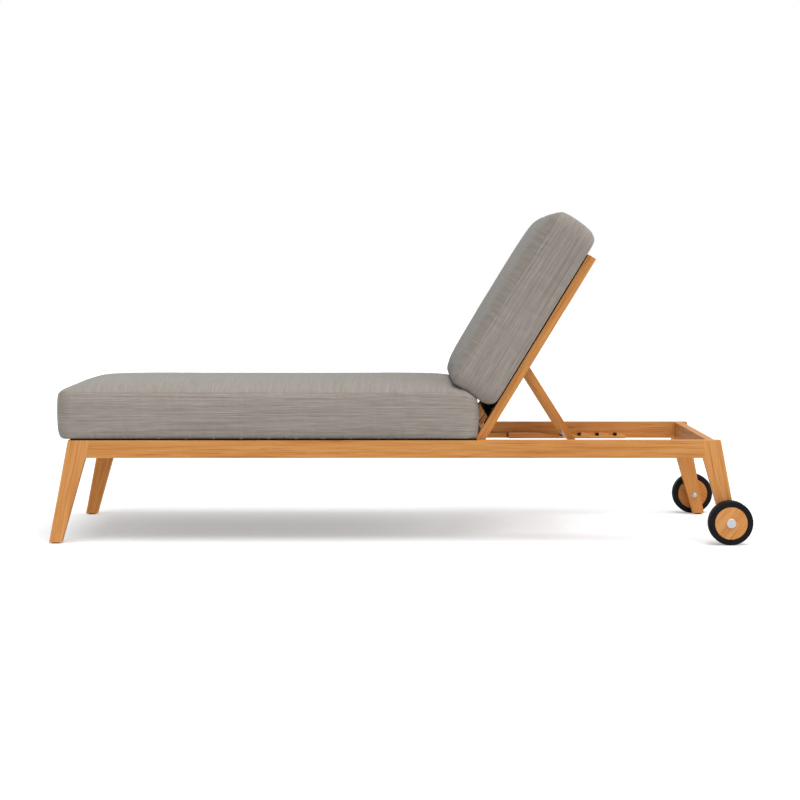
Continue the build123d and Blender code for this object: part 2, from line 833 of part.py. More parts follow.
def cushion(place, length, width, ease):
    """Boxed cushion: sides that swell and draw in between the corners, and a crowned top."""
    seam_inset = ease * seam_inset_share
    side_levels = (
        (0, ease),
        (cushion_side * side_foot_share, ease * side_foot_inset_share),
        (cushion_side * side_swell_share, 0),
        (cushion_side * side_neck_share, ease * side_neck_inset_share),
        (cushion_side, seam_inset),
    )
    crown_run = crown_run_share * min(length, width) / 2
    crown_levels = [
        (cushion_side + cushion_crown * rise_share, seam_inset + crown_run * run_share)
        for rise_share, run_share in crown_shares
    ]
    with BuildPart() as pad:
        add(cushion_layer(place, length, width, side_levels, seam_inset).part)
        add(cushion_layer(place, length, width, crown_levels, seam_inset).part)
    return pad


seat_cushion_bottom = rail_top + strap_thickness + strap_screw_head_height + cushion_clearance
seat_cushion_start = -half_length + seat_cushion_foot_inset
seat_cushion_stop = pivot_x + seat_cushion_overhang
seat_cushion_length = seat_cushion_stop - seat_cushion_start
seat_cushion_middle = (seat_cushion_stop + seat_cushion_start) / 2
back_cushion_bottom = back_half_depth + strap_thickness + strap_screw_head_height + cushion_clearance


def seat_cushion():
    """The seat cushion's head end is pressed down into a slope under the back cushion."""
    def place(height):
        return Plane.XY.offset(seat_cushion_bottom + height).shift_origin(
            (seat_cushion_middle, 0, seat_cushion_bottom + height))

    pad = cushion(place, seat_cushion_length, seat_cushion_width, seat_edge_ease)
    top = seat_cushion_bottom + cushion_side + cushion_crown
    slope = radians(90 - back_angle)
    reach = shoulder_radius * tan(slope / 2)
    crest = seat_cushion_stop - shoulder_drop / tan(slope)
    bend = (crest + reach * cos(slope), top - reach * sin(slope))
    end = (seat_cushion_stop + overrun, top - shoulder_drop - overrun * tan(slope))
    with BuildPart() as shaped:
        add(pad.part)
        with BuildSketch(Plane.XZ.offset(-seat_cushion_width)):
            with BuildLine():
                TangentArc((crest - reach, top), bend, tangent=(1, 0))
                Polyline(bend, end, (end[0], top + overrun), (crest - reach, top + overrun),
                         (crest - reach, top))
            make_face()
        extrude(amount=2 * seat_cushion_width, mode=Mode.SUBTRACT)
    return shaped


def back_cushion():
    middle_u = back_cushion_start + back_cushion_length / 2

    def place(height):
        face = back_face(back_cushion_bottom + height)
        return face.shift_origin(face.from_local_coords((middle_u, 0, 0)))

    return cushion(place, back_cushion_length, back_cushion_width, back_edge_ease)


os.makedirs("parts", exist_ok=True)

for side, sign in SIDES:
    save(foot_leg(sign), f"foot_leg_{side}")
    save(head_leg(sign), f"head_leg_{side}")
    save(side_rail(sign), f"side_rail_{side}")
    save(ledger(sign), f"ledger_{side}")
    save(rack(sign), f"rack_{side}")
    save(back_rail(sign), f"back_rail_{side}")
    save(prop_leg(sign), f"prop_leg_{side}")
    save(tyre(sign), f"tyre_{side}")
    save(wheel_disc(sign), f"wheel_disc_{side}")
    save(hub_bush(sign), f"hub_bush_{side}")
    save(axle_bolt(sign), f"axle_bolt_{side}")

save(foot_pads(), "foot_pads")
save(crossbar(foot_bar_x, rail_top - crossbar_height, crossbar_height, end_bar_heights), "foot_crossbar")
save(crossbar(head_bar_x, rail_top - crossbar_height, crossbar_height, end_bar_heights), "head_crossbar")
save(crossbar(seat_bar_x, rail_top - crossbar_height, crossbar_height, end_bar_heights), "seat_crossbar")
save(crossbar(middle_bar_x, rail_bottom, middle_bar_height, middle_bar_heights), "middle_crossbar")
save(rail_dowels(), "rail_dowels")
save(crossbar_dowels(), "crossbar_dowels")
save(rack_dowels(), "rack_dowels")
save(ledger_screws(), "ledger_screws")
save(seat_straps(), "seat_straps")
save(seat_strap_screws(), "seat_strap_screws")
save(seat_cushion(), "seat_cushion")

# Backrest pivots: bolts screwed into inserts in the side rails carry bushes in the back rails
save(sleeves(pivot_x, pivot_z, pivot_radius + insert_wall, pivot_radius + dowel_clearance,
             rail_inner, rail_inner + pivot_grip), "pivot_inserts")
save(sleeves(pivot_x, pivot_z, pivot_washer_radius, pivot_radius + dowel_clearance,
             back_outer + side_play, rail_inner), "pivot_washers")
save(headed_bolts(pivot_x, pivot_z, pivot_radius, back_inner - head_play - bolt_head_height,
                  back_inner - head_play, rail_inner + pivot_grip), "pivot_bolts")
save(sleeves(pivot_x, pivot_z, pivot_radius + bush_wall - running_clearance,
             pivot_radius + running_clearance, back_inner, back_outer), "pivot_bushes")

save(back_cross_rail(back_top_start, back_top_rail_width, back_bar_us[1:], back_top_start),
     "back_top_rail")
save(back_cross_rail(back_bottom_rail_start, back_bottom_rail_width, back_bar_us[:1], stile_start),
     "back_bottom_rail")
save(back_stile(), "back_stile")
save(back_dowels(), "back_dowels")
save(back_straps(), "back_straps")
save(back_strap_screws(), "back_strap_screws")
save(back_cushion(), "back_cushion")

# Prop pivots: bolts screwed into the back rails carry bushes in the prop legs
save(headed_bolts(prop_pivot_x, prop_pivot_z, pivot_radius, prop_inner - head_play - bolt_head_height,
                  prop_inner - head_play, back_inner + prop_grip), "prop_bolts")
save(sleeves(prop_pivot_x, prop_pivot_z, pivot_washer_radius - bush_wall, pivot_radius + dowel_clearance,
             prop_outer + side_play, back_inner), "prop_spacers")
save(sleeves(prop_pivot_x, prop_pivot_z, pivot_radius + bush_wall - running_clearance,
             pivot_radius + running_clearance, prop_inner, prop_outer), "prop_bushes")
save(prop_rod(), "prop_rod")
save(rod_pins(), "rod_pins")

# Axles
save(sleeves(wheel_x, wheel_radius, wheel_washer_radius, axle_radius + dowel_clearance,
             half_width, half_width + wheel_washer_thickness), "wheel_washers")
save(sleeves(wheel_x, wheel_radius, nut_washer_radius, axle_radius + dowel_clearance,
             rail_inner - nut_washer_thickness, rail_inner), "nut_washers")
save(axle_nuts(), "axle_nuts")
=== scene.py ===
"""Looks of the wooden chaise lounger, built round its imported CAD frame.

Metres. X runs from the foot end to the wheeled head end, Y across, Z up.
"""
from math import cos, pi, radians, sin

import bpy
import numpy as np
from mathutils import Matrix, Vector


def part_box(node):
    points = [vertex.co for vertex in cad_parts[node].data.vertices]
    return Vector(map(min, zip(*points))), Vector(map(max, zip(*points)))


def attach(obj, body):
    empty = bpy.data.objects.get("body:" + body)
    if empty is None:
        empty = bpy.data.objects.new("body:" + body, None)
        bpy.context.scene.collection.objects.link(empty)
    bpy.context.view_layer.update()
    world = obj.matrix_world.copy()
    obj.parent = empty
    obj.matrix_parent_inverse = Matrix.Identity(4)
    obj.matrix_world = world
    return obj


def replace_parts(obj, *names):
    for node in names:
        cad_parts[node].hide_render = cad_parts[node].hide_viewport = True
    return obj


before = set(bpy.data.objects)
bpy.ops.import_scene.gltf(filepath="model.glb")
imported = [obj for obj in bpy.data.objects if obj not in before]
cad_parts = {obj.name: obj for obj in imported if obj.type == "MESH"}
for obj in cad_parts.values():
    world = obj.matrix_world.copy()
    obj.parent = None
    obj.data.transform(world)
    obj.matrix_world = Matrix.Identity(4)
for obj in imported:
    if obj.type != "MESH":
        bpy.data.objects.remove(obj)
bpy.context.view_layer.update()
scene = bpy.context.scene
MM = 0.001
FULL_TURN = 2 * pi

# The backrest's own frame: its pivot, and its directions along the back and out of it
PIVOT = Vector((0.2235, 0, 0.2835))
BACK_ANGLE = radians(58.7)
ALONG_BACK = Vector((cos(BACK_ANGLE), 0, sin(BACK_ANGLE)))
OUT_OF_BACK = Vector((-sin(BACK_ANGLE), 0, cos(BACK_ANGLE)))
BACK_TURN = Matrix((ALONG_BACK, (0, 1, 0), OUT_OF_BACK)).transposed().to_4x4()
BACK_FRAME = Matrix.Translation(PIVOT) @ BACK_TURN

# Camera
CAMERA_PLACE = (0, -6.0485, 0.8)
CAMERA_TILT = radians(3.849)
CAMERA_LENS = 89.14
CAMERA_SENSOR = 36
camera_data = bpy.data.cameras.new("camera")
camera_data.lens = CAMERA_LENS
camera_data.sensor_width = CAMERA_SENSOR
camera = bpy.data.objects.new("camera", camera_data)
camera.location = CAMERA_PLACE
camera.rotation_euler = (pi / 2 - CAMERA_TILT, 0, 0)
scene.collection.objects.link(camera)
scene.camera = camera
scene.view_settings.view_transform = "Standard"


# Colours
def linear(*srgb):
    """An 8-bit screen colour as linear RGBA."""
    shares = [v / 255 for v in srgb]
    return tuple(v / 12.92 if v <= 0.04045 else ((v + 0.055) / 1.055) ** 2.4 for v in shares) + (1,)


def scaled(colour, share):
    """A colour with its red, green and blue at this share."""
    return tuple(share * v for v in colour[:3]) + (1,)


# Node helpers
def new_material(name):
    material = bpy.data.materials.new(name)
    material.use_nodes = True
    return material, material.node_tree, material.node_tree.nodes["Principled BSDF"]


def node(tree, kind, inputs=(), **settings):
    """Adds a node. inputs maps an input's name or number to a value or to another node's output."""
    made = tree.nodes.new(kind)
    for name, value in settings.items():
        setattr(made, name, value)
    for name, value in dict(inputs).items():
        if isinstance(value, bpy.types.NodeSocket):
            tree.links.new(value, made.inputs[name])
        else:
            made.inputs[name].default_value = value
    return made


def maths(tree, operation, first, second=0.0, clamp=False):
    made = node(tree, "ShaderNodeMath", {0: first, 1: second}, operation=operation, use_clamp=clamp)
    return made.outputs[0]


def plus(tree, first, second):
    return maths(tree, "ADD", first, second)


def minus(tree, first, second, clamp=False):
    return maths(tree, "SUBTRACT", first, second, clamp)


def times(tree, first, second, clamp=False):
    return maths(tree, "MULTIPLY", first, second, clamp)


def within(tree, value, low, high):
    """1 where the value lies between two bounds, 0 elsewhere."""
    return times(tree, maths(tree, "GREATER_THAN", value, low), maths(tree, "LESS_THAN", value, high))


def split(tree, vector):
    return node(tree, "ShaderNodeSeparateXYZ", {0: vector}).outputs


def object_place(tree):
    return node(tree, "ShaderNodeTexCoord").outputs["Object"]


def stretched(tree, vector, scale):
    return node(tree, "ShaderNodeVectorMath", {0: vector, 1: scale}, operation="MULTIPLY").outputs[0]


def noise(tree, vector, scale=1.0, detail=2.0, roughness=0.5):
    made = node(tree, "ShaderNodeTexNoise", {
        "Vector": vector, "Scale": scale, "Detail": detail, "Roughness": roughness})
    return made.outputs["Fac"]


def ramp(tree, factor, levels, colours):
    """Each colour at its level of the factor, and a blend of two between their levels."""
    made = node(tree, "ShaderNodeValToRGB", {0: factor})
    elements = made.color_ramp.elements
    while len(elements) < len(levels):
        elements.new(0.5)
    for element, level, colour in zip(elements, levels, colours):
        element.position = level
        element.color = colour
    return made.outputs[0]


def mix(tree, factor, first, second, blend="MIX"):
    made = node(tree, "ShaderNodeMix", data_type="RGBA", blend_type=blend)
    for socket, value in ((made.inputs[0], factor), (made.inputs[6], first), (made.inputs[7], second)):
        if isinstance(value, bpy.types.NodeSocket):
            tree.links.new(value, socket)
        else:
            socket.default_value = value
    return made.outputs[2]


RELIEF_STRENGTH = 0.6


def bump(tree, shader, height, distance, strength=RELIEF_STRENGTH):
    made = node(tree, "ShaderNodeBump", {"Strength": strength, "Distance": distance, "Height": height})
    tree.links.new(made.outputs[0], shader.inputs["Normal"])


# Painted shade: dark pockets beside the racks' notch walls, and a painted shadow mark on the ledgers at the
# racks' foot end
NOTCH_WALL = 523.787 * MM
NOTCH_PITCH = 57.2 * MM
NOTCH_COUNT = 4
NOTCH_TOP = 268.5 * MM
NOTCH_DEPTH = 10 * MM
POCKET_LENGTH = 11 * MM
POCKET_FADE = 3 * MM
POCKET_SLACK = 0.5 * MM
RACK_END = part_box("rack_right")[0][0]
END_SHADE_LENGTH = 6 * MM
END_SHADE_SHARE = 0.75
SIDE_LEAN = 0.5
WOOD_POCKET_SHADE = linear(48, 27, 13)
SHADED_POCKET_NODES = ("rack_left", "rack_right", "ledger_left", "ledger_right")


def pocket_shade_share(tree, kind):
    """How much painted shade the place gets: 1 beside a notch's wall, less at the painted shadow mark on the
    ledger, 0 elsewhere.

    On a rack itself only the notch's own faces get the painted shade, not the rack's side.
    """
    place = node(tree, "ShaderNodeTexCoord")
    x, _, z = split(tree, place.outputs["Object"])
    since = minus(tree, NOTCH_WALL + NOTCH_PITCH / 2, x)
    since = minus(tree, maths(tree, "FLOORED_MODULO", since, NOTCH_PITCH), NOTCH_PITCH / 2)
    fade = maths(tree, "DIVIDE", minus(tree, POCKET_LENGTH, since), POCKET_FADE, clamp=True)
    beside = times(tree, fade, maths(tree, "GREATER_THAN", since, -POCKET_SLACK))
    at_height = within(tree, z, NOTCH_TOP - NOTCH_DEPTH - POCKET_SLACK, NOTCH_TOP + POCKET_SLACK)
    last = NOTCH_WALL + (NOTCH_COUNT - 1) * NOTCH_PITCH + POCKET_FADE
    on_rack = within(tree, x, NOTCH_WALL - 2 * POCKET_LENGTH, last)
    notch_shade = times(tree, beside, times(tree, at_height, on_rack))
    if kind == "rack":
        lean = maths(tree, "ABSOLUTE", split(tree, place.outputs["Normal"])[1])
        return times(tree, notch_shade, maths(tree, "LESS_THAN", lean, SIDE_LEAN))
    end_shade = times(tree, within(tree, x, RACK_END - END_SHADE_LENGTH, RACK_END), END_SHADE_SHARE)
    end_shade = times(tree, end_shade, maths(tree, "LESS_THAN", z, NOTCH_TOP))
    return maths(tree, "MAXIMUM", notch_shade, end_shade)


# Oiled wood. Each layer of noise has its stretch along the grain and across it.
WOOD_DARK = linear(184, 113, 52)
WOOD_MIDDLE = linear(209, 143, 75)
WOOD_LIGHT = linear(222, 163, 98)
WOOD_LINE = linear(168, 92, 44)
WOOD_LEVELS = (0.3, 0.5, 0.7)
SWAY_STRETCH = (1.6, 9, 9)
BROAD_STRETCH = (0.9, 26, 26)
FIGURE_STRETCH = (4, 120, 120)
FIBRE_STRETCH = (10, 520, 520)
PORE_STRETCH = (38, 1500, 1500)
DASH_STRETCH = (7, 330, 330)
SWAY_WIDTH = 20 * MM
SWAY_HEIGHT = 14 * MM
FIGURE_SHARE = 0.5
FIBRE_SHARE = 0.34
BROAD_SHARE = 0.16
DASH_LEVEL = 0.56
LINE_GAIN = 4.5
DISC_LINE_GAIN = 9.0
PORE_LEVEL = 0.6
PORE_GAIN = 1.6
WOOD_ROUGHNESS = 0.46
WOOD_ROUGHNESS_SPREAD = 0.16
WOOD_SPECULAR = 0.25
WOOD_RELIEF = 0.25 * MM
FIBRE_RELIEF_SHARE = 0.7


def wood(name, turn, shift, tone, line_gain, kind=""):
    """Straight-grained oiled wood. turn brings the grain's direction onto X, shift picks the board."""
    material, tree, shader = new_material(name)
    board = node(tree, "ShaderNodeMapping", {
        "Vector": object_place(tree), "Rotation": turn, "Location": shift}).outputs[0]
    sway = noise(tree, stretched(tree, board, SWAY_STRETCH), detail=1)
    drift = node(tree, "ShaderNodeCombineXYZ", {
        "Y": times(tree, sway, SWAY_WIDTH), "Z": times(tree, sway, SWAY_HEIGHT)}).outputs[0]
    swayed = node(tree, "ShaderNodeVectorMath", {0: board, 1: drift}, operation="ADD").outputs[0]
    broad = noise(tree, stretched(tree, swayed, BROAD_STRETCH), detail=1)
    figure = noise(tree, stretched(tree, swayed, FIGURE_STRETCH), detail=3, roughness=0.55)
    fibre = noise(tree, stretched(tree, swayed, FIBRE_STRETCH), detail=3, roughness=0.62)
    pores = noise(tree, stretched(tree, board, PORE_STRETCH))
    dashes = noise(tree, stretched(tree, swayed, DASH_STRETCH))
    grain = plus(tree, times(tree, figure, FIGURE_SHARE), times(tree, fibre, FIBRE_SHARE))
    grain = plus(tree, grain, times(tree, broad, BROAD_SHARE))
    colour = ramp(tree, grain, WOOD_LEVELS, (WOOD_DARK, WOOD_MIDDLE, WOOD_LIGHT))
    line = times(tree, minus(tree, dashes, DASH_LEVEL, clamp=True), line_gain, clamp=True)
    colour = mix(tree, line, colour, WOOD_LINE)
    pore = times(tree, minus(tree, pores, PORE_LEVEL, clamp=True), PORE_GAIN, clamp=True)
    colour = mix(tree, pore, colour, WOOD_LINE)
    # The board's tone, which on the far foot leg and the far prop leg is painted light
    colour = mix(tree, 1.0, colour, tone + (1,), "MULTIPLY")
    # Painted shade in the racks' notches, and a painted shadow on the ledgers at the racks' foot end
    if kind:
        colour = mix(tree, pocket_shade_share(tree, kind), colour, WOOD_POCKET_SHADE)
    tree.links.new(colour, shader.inputs["Base Color"])
    rough = plus(tree, WOOD_ROUGHNESS, times(tree, fibre, WOOD_ROUGHNESS_SPREAD))
    tree.links.new(rough, shader.inputs["Roughness"])
    shader.inputs["Specular IOR Level"].default_value = WOOD_SPECULAR
    height = minus(tree, times(tree, fibre, FIBRE_RELIEF_SHARE), pore)
    bump(tree, shader, height, WOOD_RELIEF)
    return material


# Directions of the grain: the turns that bring it onto X
def along(angle):
    """Turn for a member whose length lies in the XZ plane at this angle above +X."""
    return (0, angle, 0)


LEG_ANGLE = radians(78.5)
PROP_ANGLE = radians(57.6)
LEFT_DISC_ANGLE = radians(52)
RIGHT_DISC_ANGLE = radians(-35)
ACROSS = (0, 0, -pi / 2)
LENGTHWISE = along(0)
FOOT_LEG = along(LEG_ANGLE)
HEAD_LEG = along(-LEG_ANGLE)
BACK = along(BACK_ANGLE)
PROP = along(-PROP_ANGLE)
LEFT_DISC = along(LEFT_DISC_ANGLE)
RIGHT_DISC = along(RIGHT_DISC_ANGLE)

# Tones of the boards: shares of the red, green and blue of plain wood. The warm tone lifts the far foot leg,
# which stands in the seat's shadow: painted light. The pale tone is the near legs' and the near wheel disc's
# own, and on the far prop leg it is painted light against the shade it stands in.
PLAIN = (1, 1, 1)
PALE_AND_LIT = (1.09, 1.12, 1.25)
WARM_LIT = (1.3, 1.2, 1.1)
SHADY = (0.96, 0.97, 0.98)
DEEP = (0.91, 0.87, 0.8)

# Wooden nodes in the order that picks their boards
WOODEN = {
    # foot_leg_right's warm tone is painted light in the seat's shadow
    "foot_leg_left": (FOOT_LEG, PALE_AND_LIT), "foot_leg_right": (FOOT_LEG, WARM_LIT),
    "head_leg_left": (HEAD_LEG, PALE_AND_LIT), "head_leg_right": (HEAD_LEG, PLAIN),
    "side_rail_left": (LENGTHWISE, PLAIN), "side_rail_right": (LENGTHWISE, SHADY),
    "foot_crossbar": (ACROSS, PLAIN), "head_crossbar": (ACROSS, DEEP),
    "seat_crossbar": (ACROSS, PLAIN), "middle_crossbar": (ACROSS, PLAIN),
    "rail_dowels": (LENGTHWISE, PLAIN), "crossbar_dowels": (ACROSS, PLAIN), "rack_dowels": (ACROSS, PLAIN),
    "ledger_left": (LENGTHWISE, PLAIN), "ledger_right": (LENGTHWISE, PLAIN),
    "rack_left": (LENGTHWISE, PLAIN), "rack_right": (LENGTHWISE, PLAIN),
    "back_rail_left": (BACK, PLAIN), "back_rail_right": (BACK, PLAIN),
    "back_top_rail": (ACROSS, PLAIN), "back_bottom_rail": (ACROSS, PLAIN),
    "back_stile": (BACK, PLAIN), "back_dowels": (ACROSS, PLAIN),
    # prop_leg_right's pale tone is painted light on a leg that stands in shade
    "prop_leg_left": (PROP, DEEP), "prop_leg_right": (PROP, PALE_AND_LIT),
    "wheel_disc_left": (LEFT_DISC, PALE_AND_LIT), "wheel_disc_right": (RIGHT_DISC, DEEP),
}
BOARD_SHIFT = (0.37, 0.113, 0.071)
EASE = 1.3 * MM
EASE_FROM = radians(40)


def dress(material, *names):
    for name in names:
        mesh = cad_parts[name].data
        mesh.materials.clear()
        mesh.materials.append(material)


def soften_edges(name):
    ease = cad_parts[name].modifiers.new("ease", "BEVEL")
    ease.width = EASE
    ease.segments = 2
    ease.limit_method = "ANGLE"
    ease.angle_limit = EASE_FROM
    ease.harden_normals = False


for number, (name, (turn, tone)) in enumerate(WOODEN.items(), 1):
    shift = tuple(number * v for v in BOARD_SHIFT)
    # Racks and ledgers get painted shade at the notches
    kind = name.split("_")[0] if name in SHADED_POCKET_NODES else ""
    line_gain = DISC_LINE_GAIN if name.startswith("wheel_disc") else LINE_GAIN
    dress(wood(f"wood_{name}", turn, shift, tone, line_gain, kind), name)
    soften_edges(name)

# Metal, rubber and plastic. A brushed metal's marks run along Y, a satin one has none.
BRUSHED_STRETCH = (900, 60, 900)
TURNED_STRETCH = (500, 80, 500)
SATIN_STRETCH = (700, 700, 700)
METAL_LEVELS = (0.3, 0.7)
METAL_DARK_SHARE = 0.88
METAL_ROUGHNESS_SPREAD = 0.16
METAL_RELIEF = 0.05 * MM
METAL_RELIEF_STRENGTH = 0.5
DULL_LEVELS = (0.35, 0.75)
DULL_LIGHT_SHARE = 1.7
DULL_CLOUD_SCALE = 30
DULL_ROUGHNESS_SPREAD = 0.15
DULL_SPECULAR = 0.15
RUBBER_GRAIN = 0.15 * MM
PLASTIC_GRAIN = 0.05 * MM


def metal(name, colour, roughness, stretch):
    """Metal with fine marks, which run in the direction where stretch is least."""
    material, tree, shader = new_material(name)
    brushed = noise(tree, stretched(tree, object_place(tree), stretch), detail=3)
    rough = plus(tree, roughness, times(tree, brushed, METAL_ROUGHNESS_SPREAD))
    tree.links.new(rough, shader.inputs["Roughness"])
    tone = ramp(tree, brushed, METAL_LEVELS, (scaled(colour, METAL_DARK_SHARE), colour))
    tree.links.new(tone, shader.inputs["Base Color"])
    shader.inputs["Metallic"].default_value = 1.0
    bump(tree, shader, brushed, METAL_RELIEF, METAL_RELIEF_STRENGTH)
    return material


def dull(name, colour, roughness, grain_scale, grain_height):
    """Rubber or moulded plastic with a fine grain."""
    material, tree, shader = new_material(name)
    place = object_place(tree)
    grain = noise(tree, place, scale=grain_scale, detail=4, roughness=0.65)
    cloudy = noise(tree, place, scale=DULL_CLOUD_SCALE)
    tone = ramp(tree, cloudy, DULL_LEVELS, (colour, scaled(colour, DULL_LIGHT_SHARE)))
    tree.links.new(tone, shader.inputs["Base Color"])
    rough = plus(tree, roughness, times(tree, cloudy, DULL_ROUGHNESS_SPREAD))
    tree.links.new(rough, shader.inputs["Roughness"])
    shader.inputs["Specular IOR Level"].default_value = DULL_SPECULAR
    bump(tree, shader, grain, grain_height)
    return material


steel = metal("steel", linear(205, 208, 212), 0.28, BRUSHED_STRETCH)
cap_steel = metal("cap_steel", linear(213, 216, 219), 0.42, SATIN_STRETCH)
brass = metal("brass", linear(186, 152, 92), 0.3, TURNED_STRETCH)
bronze = metal("bronze", linear(196, 150, 100), 0.5, TURNED_STRETCH)
rubber = dull("rubber", linear(17, 17, 18), 0.6, 900, RUBBER_GRAIN)
plastic = dull("plastic", linear(22, 22, 22), 0.45, 1400, PLASTIC_GRAIN)

dress(bronze, "ledger_screws")
dress(steel, "seat_strap_screws", "back_strap_screws", "pivot_bolts", "prop_bolts",
      "pivot_washers", "prop_spacers", "prop_rod", "rod_pins", "axle_nuts", "nut_washers")
dress(cap_steel, "axle_bolt_left", "axle_bolt_right")
dress(brass, "pivot_inserts")
dress(plastic, "pivot_bushes", "prop_bushes", "hub_bush_left", "hub_bush_right", "wheel_washers", "foot_pads")
dress(rubber, "tyre_left", "tyre_right")

# Cloth of the cushions: dull taupe yarns in long streaks, with a greyer bloom at grazing angles
CLOTH_DARK = linear(136, 128, 120)
CLOTH_MIDDLE = linear(157, 149, 141)
CLOTH_LIGHT = linear(174, 167, 159)
# Painted shade along the seams
CLOTH_SEAM_SHADE = linear(104, 98, 92)
MIDDLE_LEVEL = 0.5
CLOTH_LEVELS = (0.37, MIDDLE_LEVEL, 0.63)
SLUB_STRETCH = (3.5, 330, 1)
BAND_STRETCH = (2.5, 90, 1)
SHORT_STRETCH = (18, 640, 1)
SLUB_SHARE = 0.5
BAND_SHARE = 0.18
SHORT_SHARE = 0.32
TOP_CONTRAST = 0.7
SIDE_EXTRA_CONTRAST = 0.4
YARN_PITCH = 1.7 * MM
YARN_SHADE_SHARE = 0.06
YARN_RELIEF_SHARE = 0.35
SLUB_RELIEF_SHARE = 0.8
SEAM_SHADE_WIDTH = 1.6 * MM
SEAM_SHADE_SHARE = 0.5
CLOTH_RELIEF = 0.35 * MM
CLOTH_ROUGHNESS = 0.92
CLOTH_SPECULAR = 0.15
SHEEN_ROUGHNESS = 0.4
SHEEN_TINT = (0.5, 0.575, 0.6, 1)
SEAT_SHEEN = 0.56
BACK_SHEEN = 0.28
# The back cushion's cloth is darker than the seat's: partly its own tone, partly painted shade on its front
# panel
BACK_TONE_AND_SHADE_SHARE = 0.94

# The boxed sides' weave lies this far from the panels' weave
SIDE_WEAVE = 2.0


def cloth_material(name, shade_share, sheen):
    """Cushion cloth, its colours at this share of the plain ones."""
    material, tree, shader = new_material(name)
    shades = [scaled(colour, shade_share) for colour in (CLOTH_DARK, CLOTH_MIDDLE, CLOTH_LIGHT)]
    weave = node(tree, "ShaderNodeAttribute", attribute_name="weave").outputs["Vector"]
    run, cross, seam = split(tree, weave)
    flat = node(tree, "ShaderNodeCombineXYZ", {"X": run, "Y": cross}).outputs[0]
    slubs = noise(tree, stretched(tree, flat, SLUB_STRETCH), detail=3, roughness=0.65)
    broad = noise(tree, stretched(tree, flat, BAND_STRETCH))
    short = noise(tree, stretched(tree, flat, SHORT_STRETCH))
    tone = plus(tree, times(tree, slubs, SLUB_SHARE), times(tree, broad, BAND_SHARE))
    tone = plus(tree, tone, times(tree, short, SHORT_SHARE))
    on_side = maths(tree, "GREATER_THAN", cross, SIDE_WEAVE / 2)
    contrast = plus(tree, TOP_CONTRAST, times(tree, on_side, SIDE_EXTRA_CONTRAST))
    tone = plus(tree, MIDDLE_LEVEL, times(tree, minus(tree, tone, MIDDLE_LEVEL), contrast))
    colour = ramp(tree, tone, CLOTH_LEVELS, shades)
    warp = maths(tree, "SINE", times(tree, run, FULL_TURN / YARN_PITCH))
    weft = maths(tree, "SINE", times(tree, cross, FULL_TURN / YARN_PITCH))
    yarns = times(tree, warp, weft)
    colour = mix(tree, times(tree, plus(tree, yarns, 1.0), YARN_SHADE_SHARE), colour, shades[0])
    # Painted shade: a thin darker line along each seam
    seam_shade = minus(tree, 1.0, maths(tree, "DIVIDE", seam, SEAM_SHADE_WIDTH), clamp=True)
    colour = mix(tree, times(tree, seam_shade, SEAM_SHADE_SHARE), colour, CLOTH_SEAM_SHADE)
    tree.links.new(colour, shader.inputs["Base Color"])
    shader.inputs["Roughness"].default_value = CLOTH_ROUGHNESS
    shader.inputs["Specular IOR Level"].default_value = CLOTH_SPECULAR
    shader.inputs["Sheen Weight"].default_value = sheen
    shader.inputs["Sheen Roughness"].default_value = SHEEN_ROUGHNESS
    shader.inputs["Sheen Tint"].default_value = SHEEN_TINT
    height = plus(tree, times(tree, yarns, YARN_RELIEF_SHARE), times(tree, slubs, SLUB_RELIEF_SHARE))
    bump(tree, shader, height, CLOTH_RELIEF)
    return material


seat_cloth = cloth_material("seat_cloth", 1, SEAT_SHEEN)
# The back cushion's darker copy of the cloth: partly its own tone, partly painted shade on its front panel
back_cloth_toned_and_shaded = cloth_material("back_cloth_toned_and_shaded", BACK_TONE_AND_SHADE_SHARE, BACK_SHEEN)

# Cushions: the boxed form that both share
CUSHION_SIDE = 138 * MM
CUSHION_CROWN = 22 * MM
CORNER = 40 * MM
DRAW_IN = 7 * MM
BOW = 4 * MM
CROWN_RUN_SHARE = 0.78
CROWN_PLACE_SHARES = (0, 0.07, 0.18, 0.36, 0.62, 1, 2)
CROWN_RISE_SHARES = (0, 0.49, 0.77, 0.9, 0.97, 1, 1)

# How far the boxed sides stand in, at shares of their height, as shares of their ease
SIDE_HEIGHT_SHARES = (0, 0.03, 0.1, 0.25, 0.52, 0.8, 0.93, 1)
LONG_INSET_SHARES = (0.35, 0.12, 0, -0.03, 0, 0, 0.04, 0.12)
SEAT_FOOT_INSET_SHARES = (1, 0.6, 0.25, 0.05, 0, 0.04, 0.14, 0.3)
SEAT_HEAD_INSET_SHARES = (0.3, 0.2, 0.08, 0.02, 0, 0.04, 0.14, 0.3)
BACK_LOW_INSET_SHARES = (1.25, 0.85, 0.4, 0.12, 0.02, 0.05, 0.15, 0.4)
BACK_TOP_INSET_SHARES = (1.5, 1.15, 0.66, 0.3, 0.12, 0.04, 0.1, 0.26)

# Seat cushion, along X from the foot end
SEAT_LENGTH = 1218.5 * MM
SEAT_WIDTH = 704 * MM
SEAT_BOTTOM = 300.3 * MM
SEAT_HEAD_END = 225.5 * MM
SEAT_MIDDLE = SEAT_HEAD_END - SEAT_LENGTH / 2
SEAT_END_EASE = 15 * MM
SEAT_SIDE_EASE = 12 * MM
PRESSED_HEIGHT = 119.5 * MM
PRESSED_FROM = 50 * MM
PRESSED_POWER = 1.5
PRESSED_SOFTNESS = 4 * MM
SEAT_REST_EDGE = 322 * MM

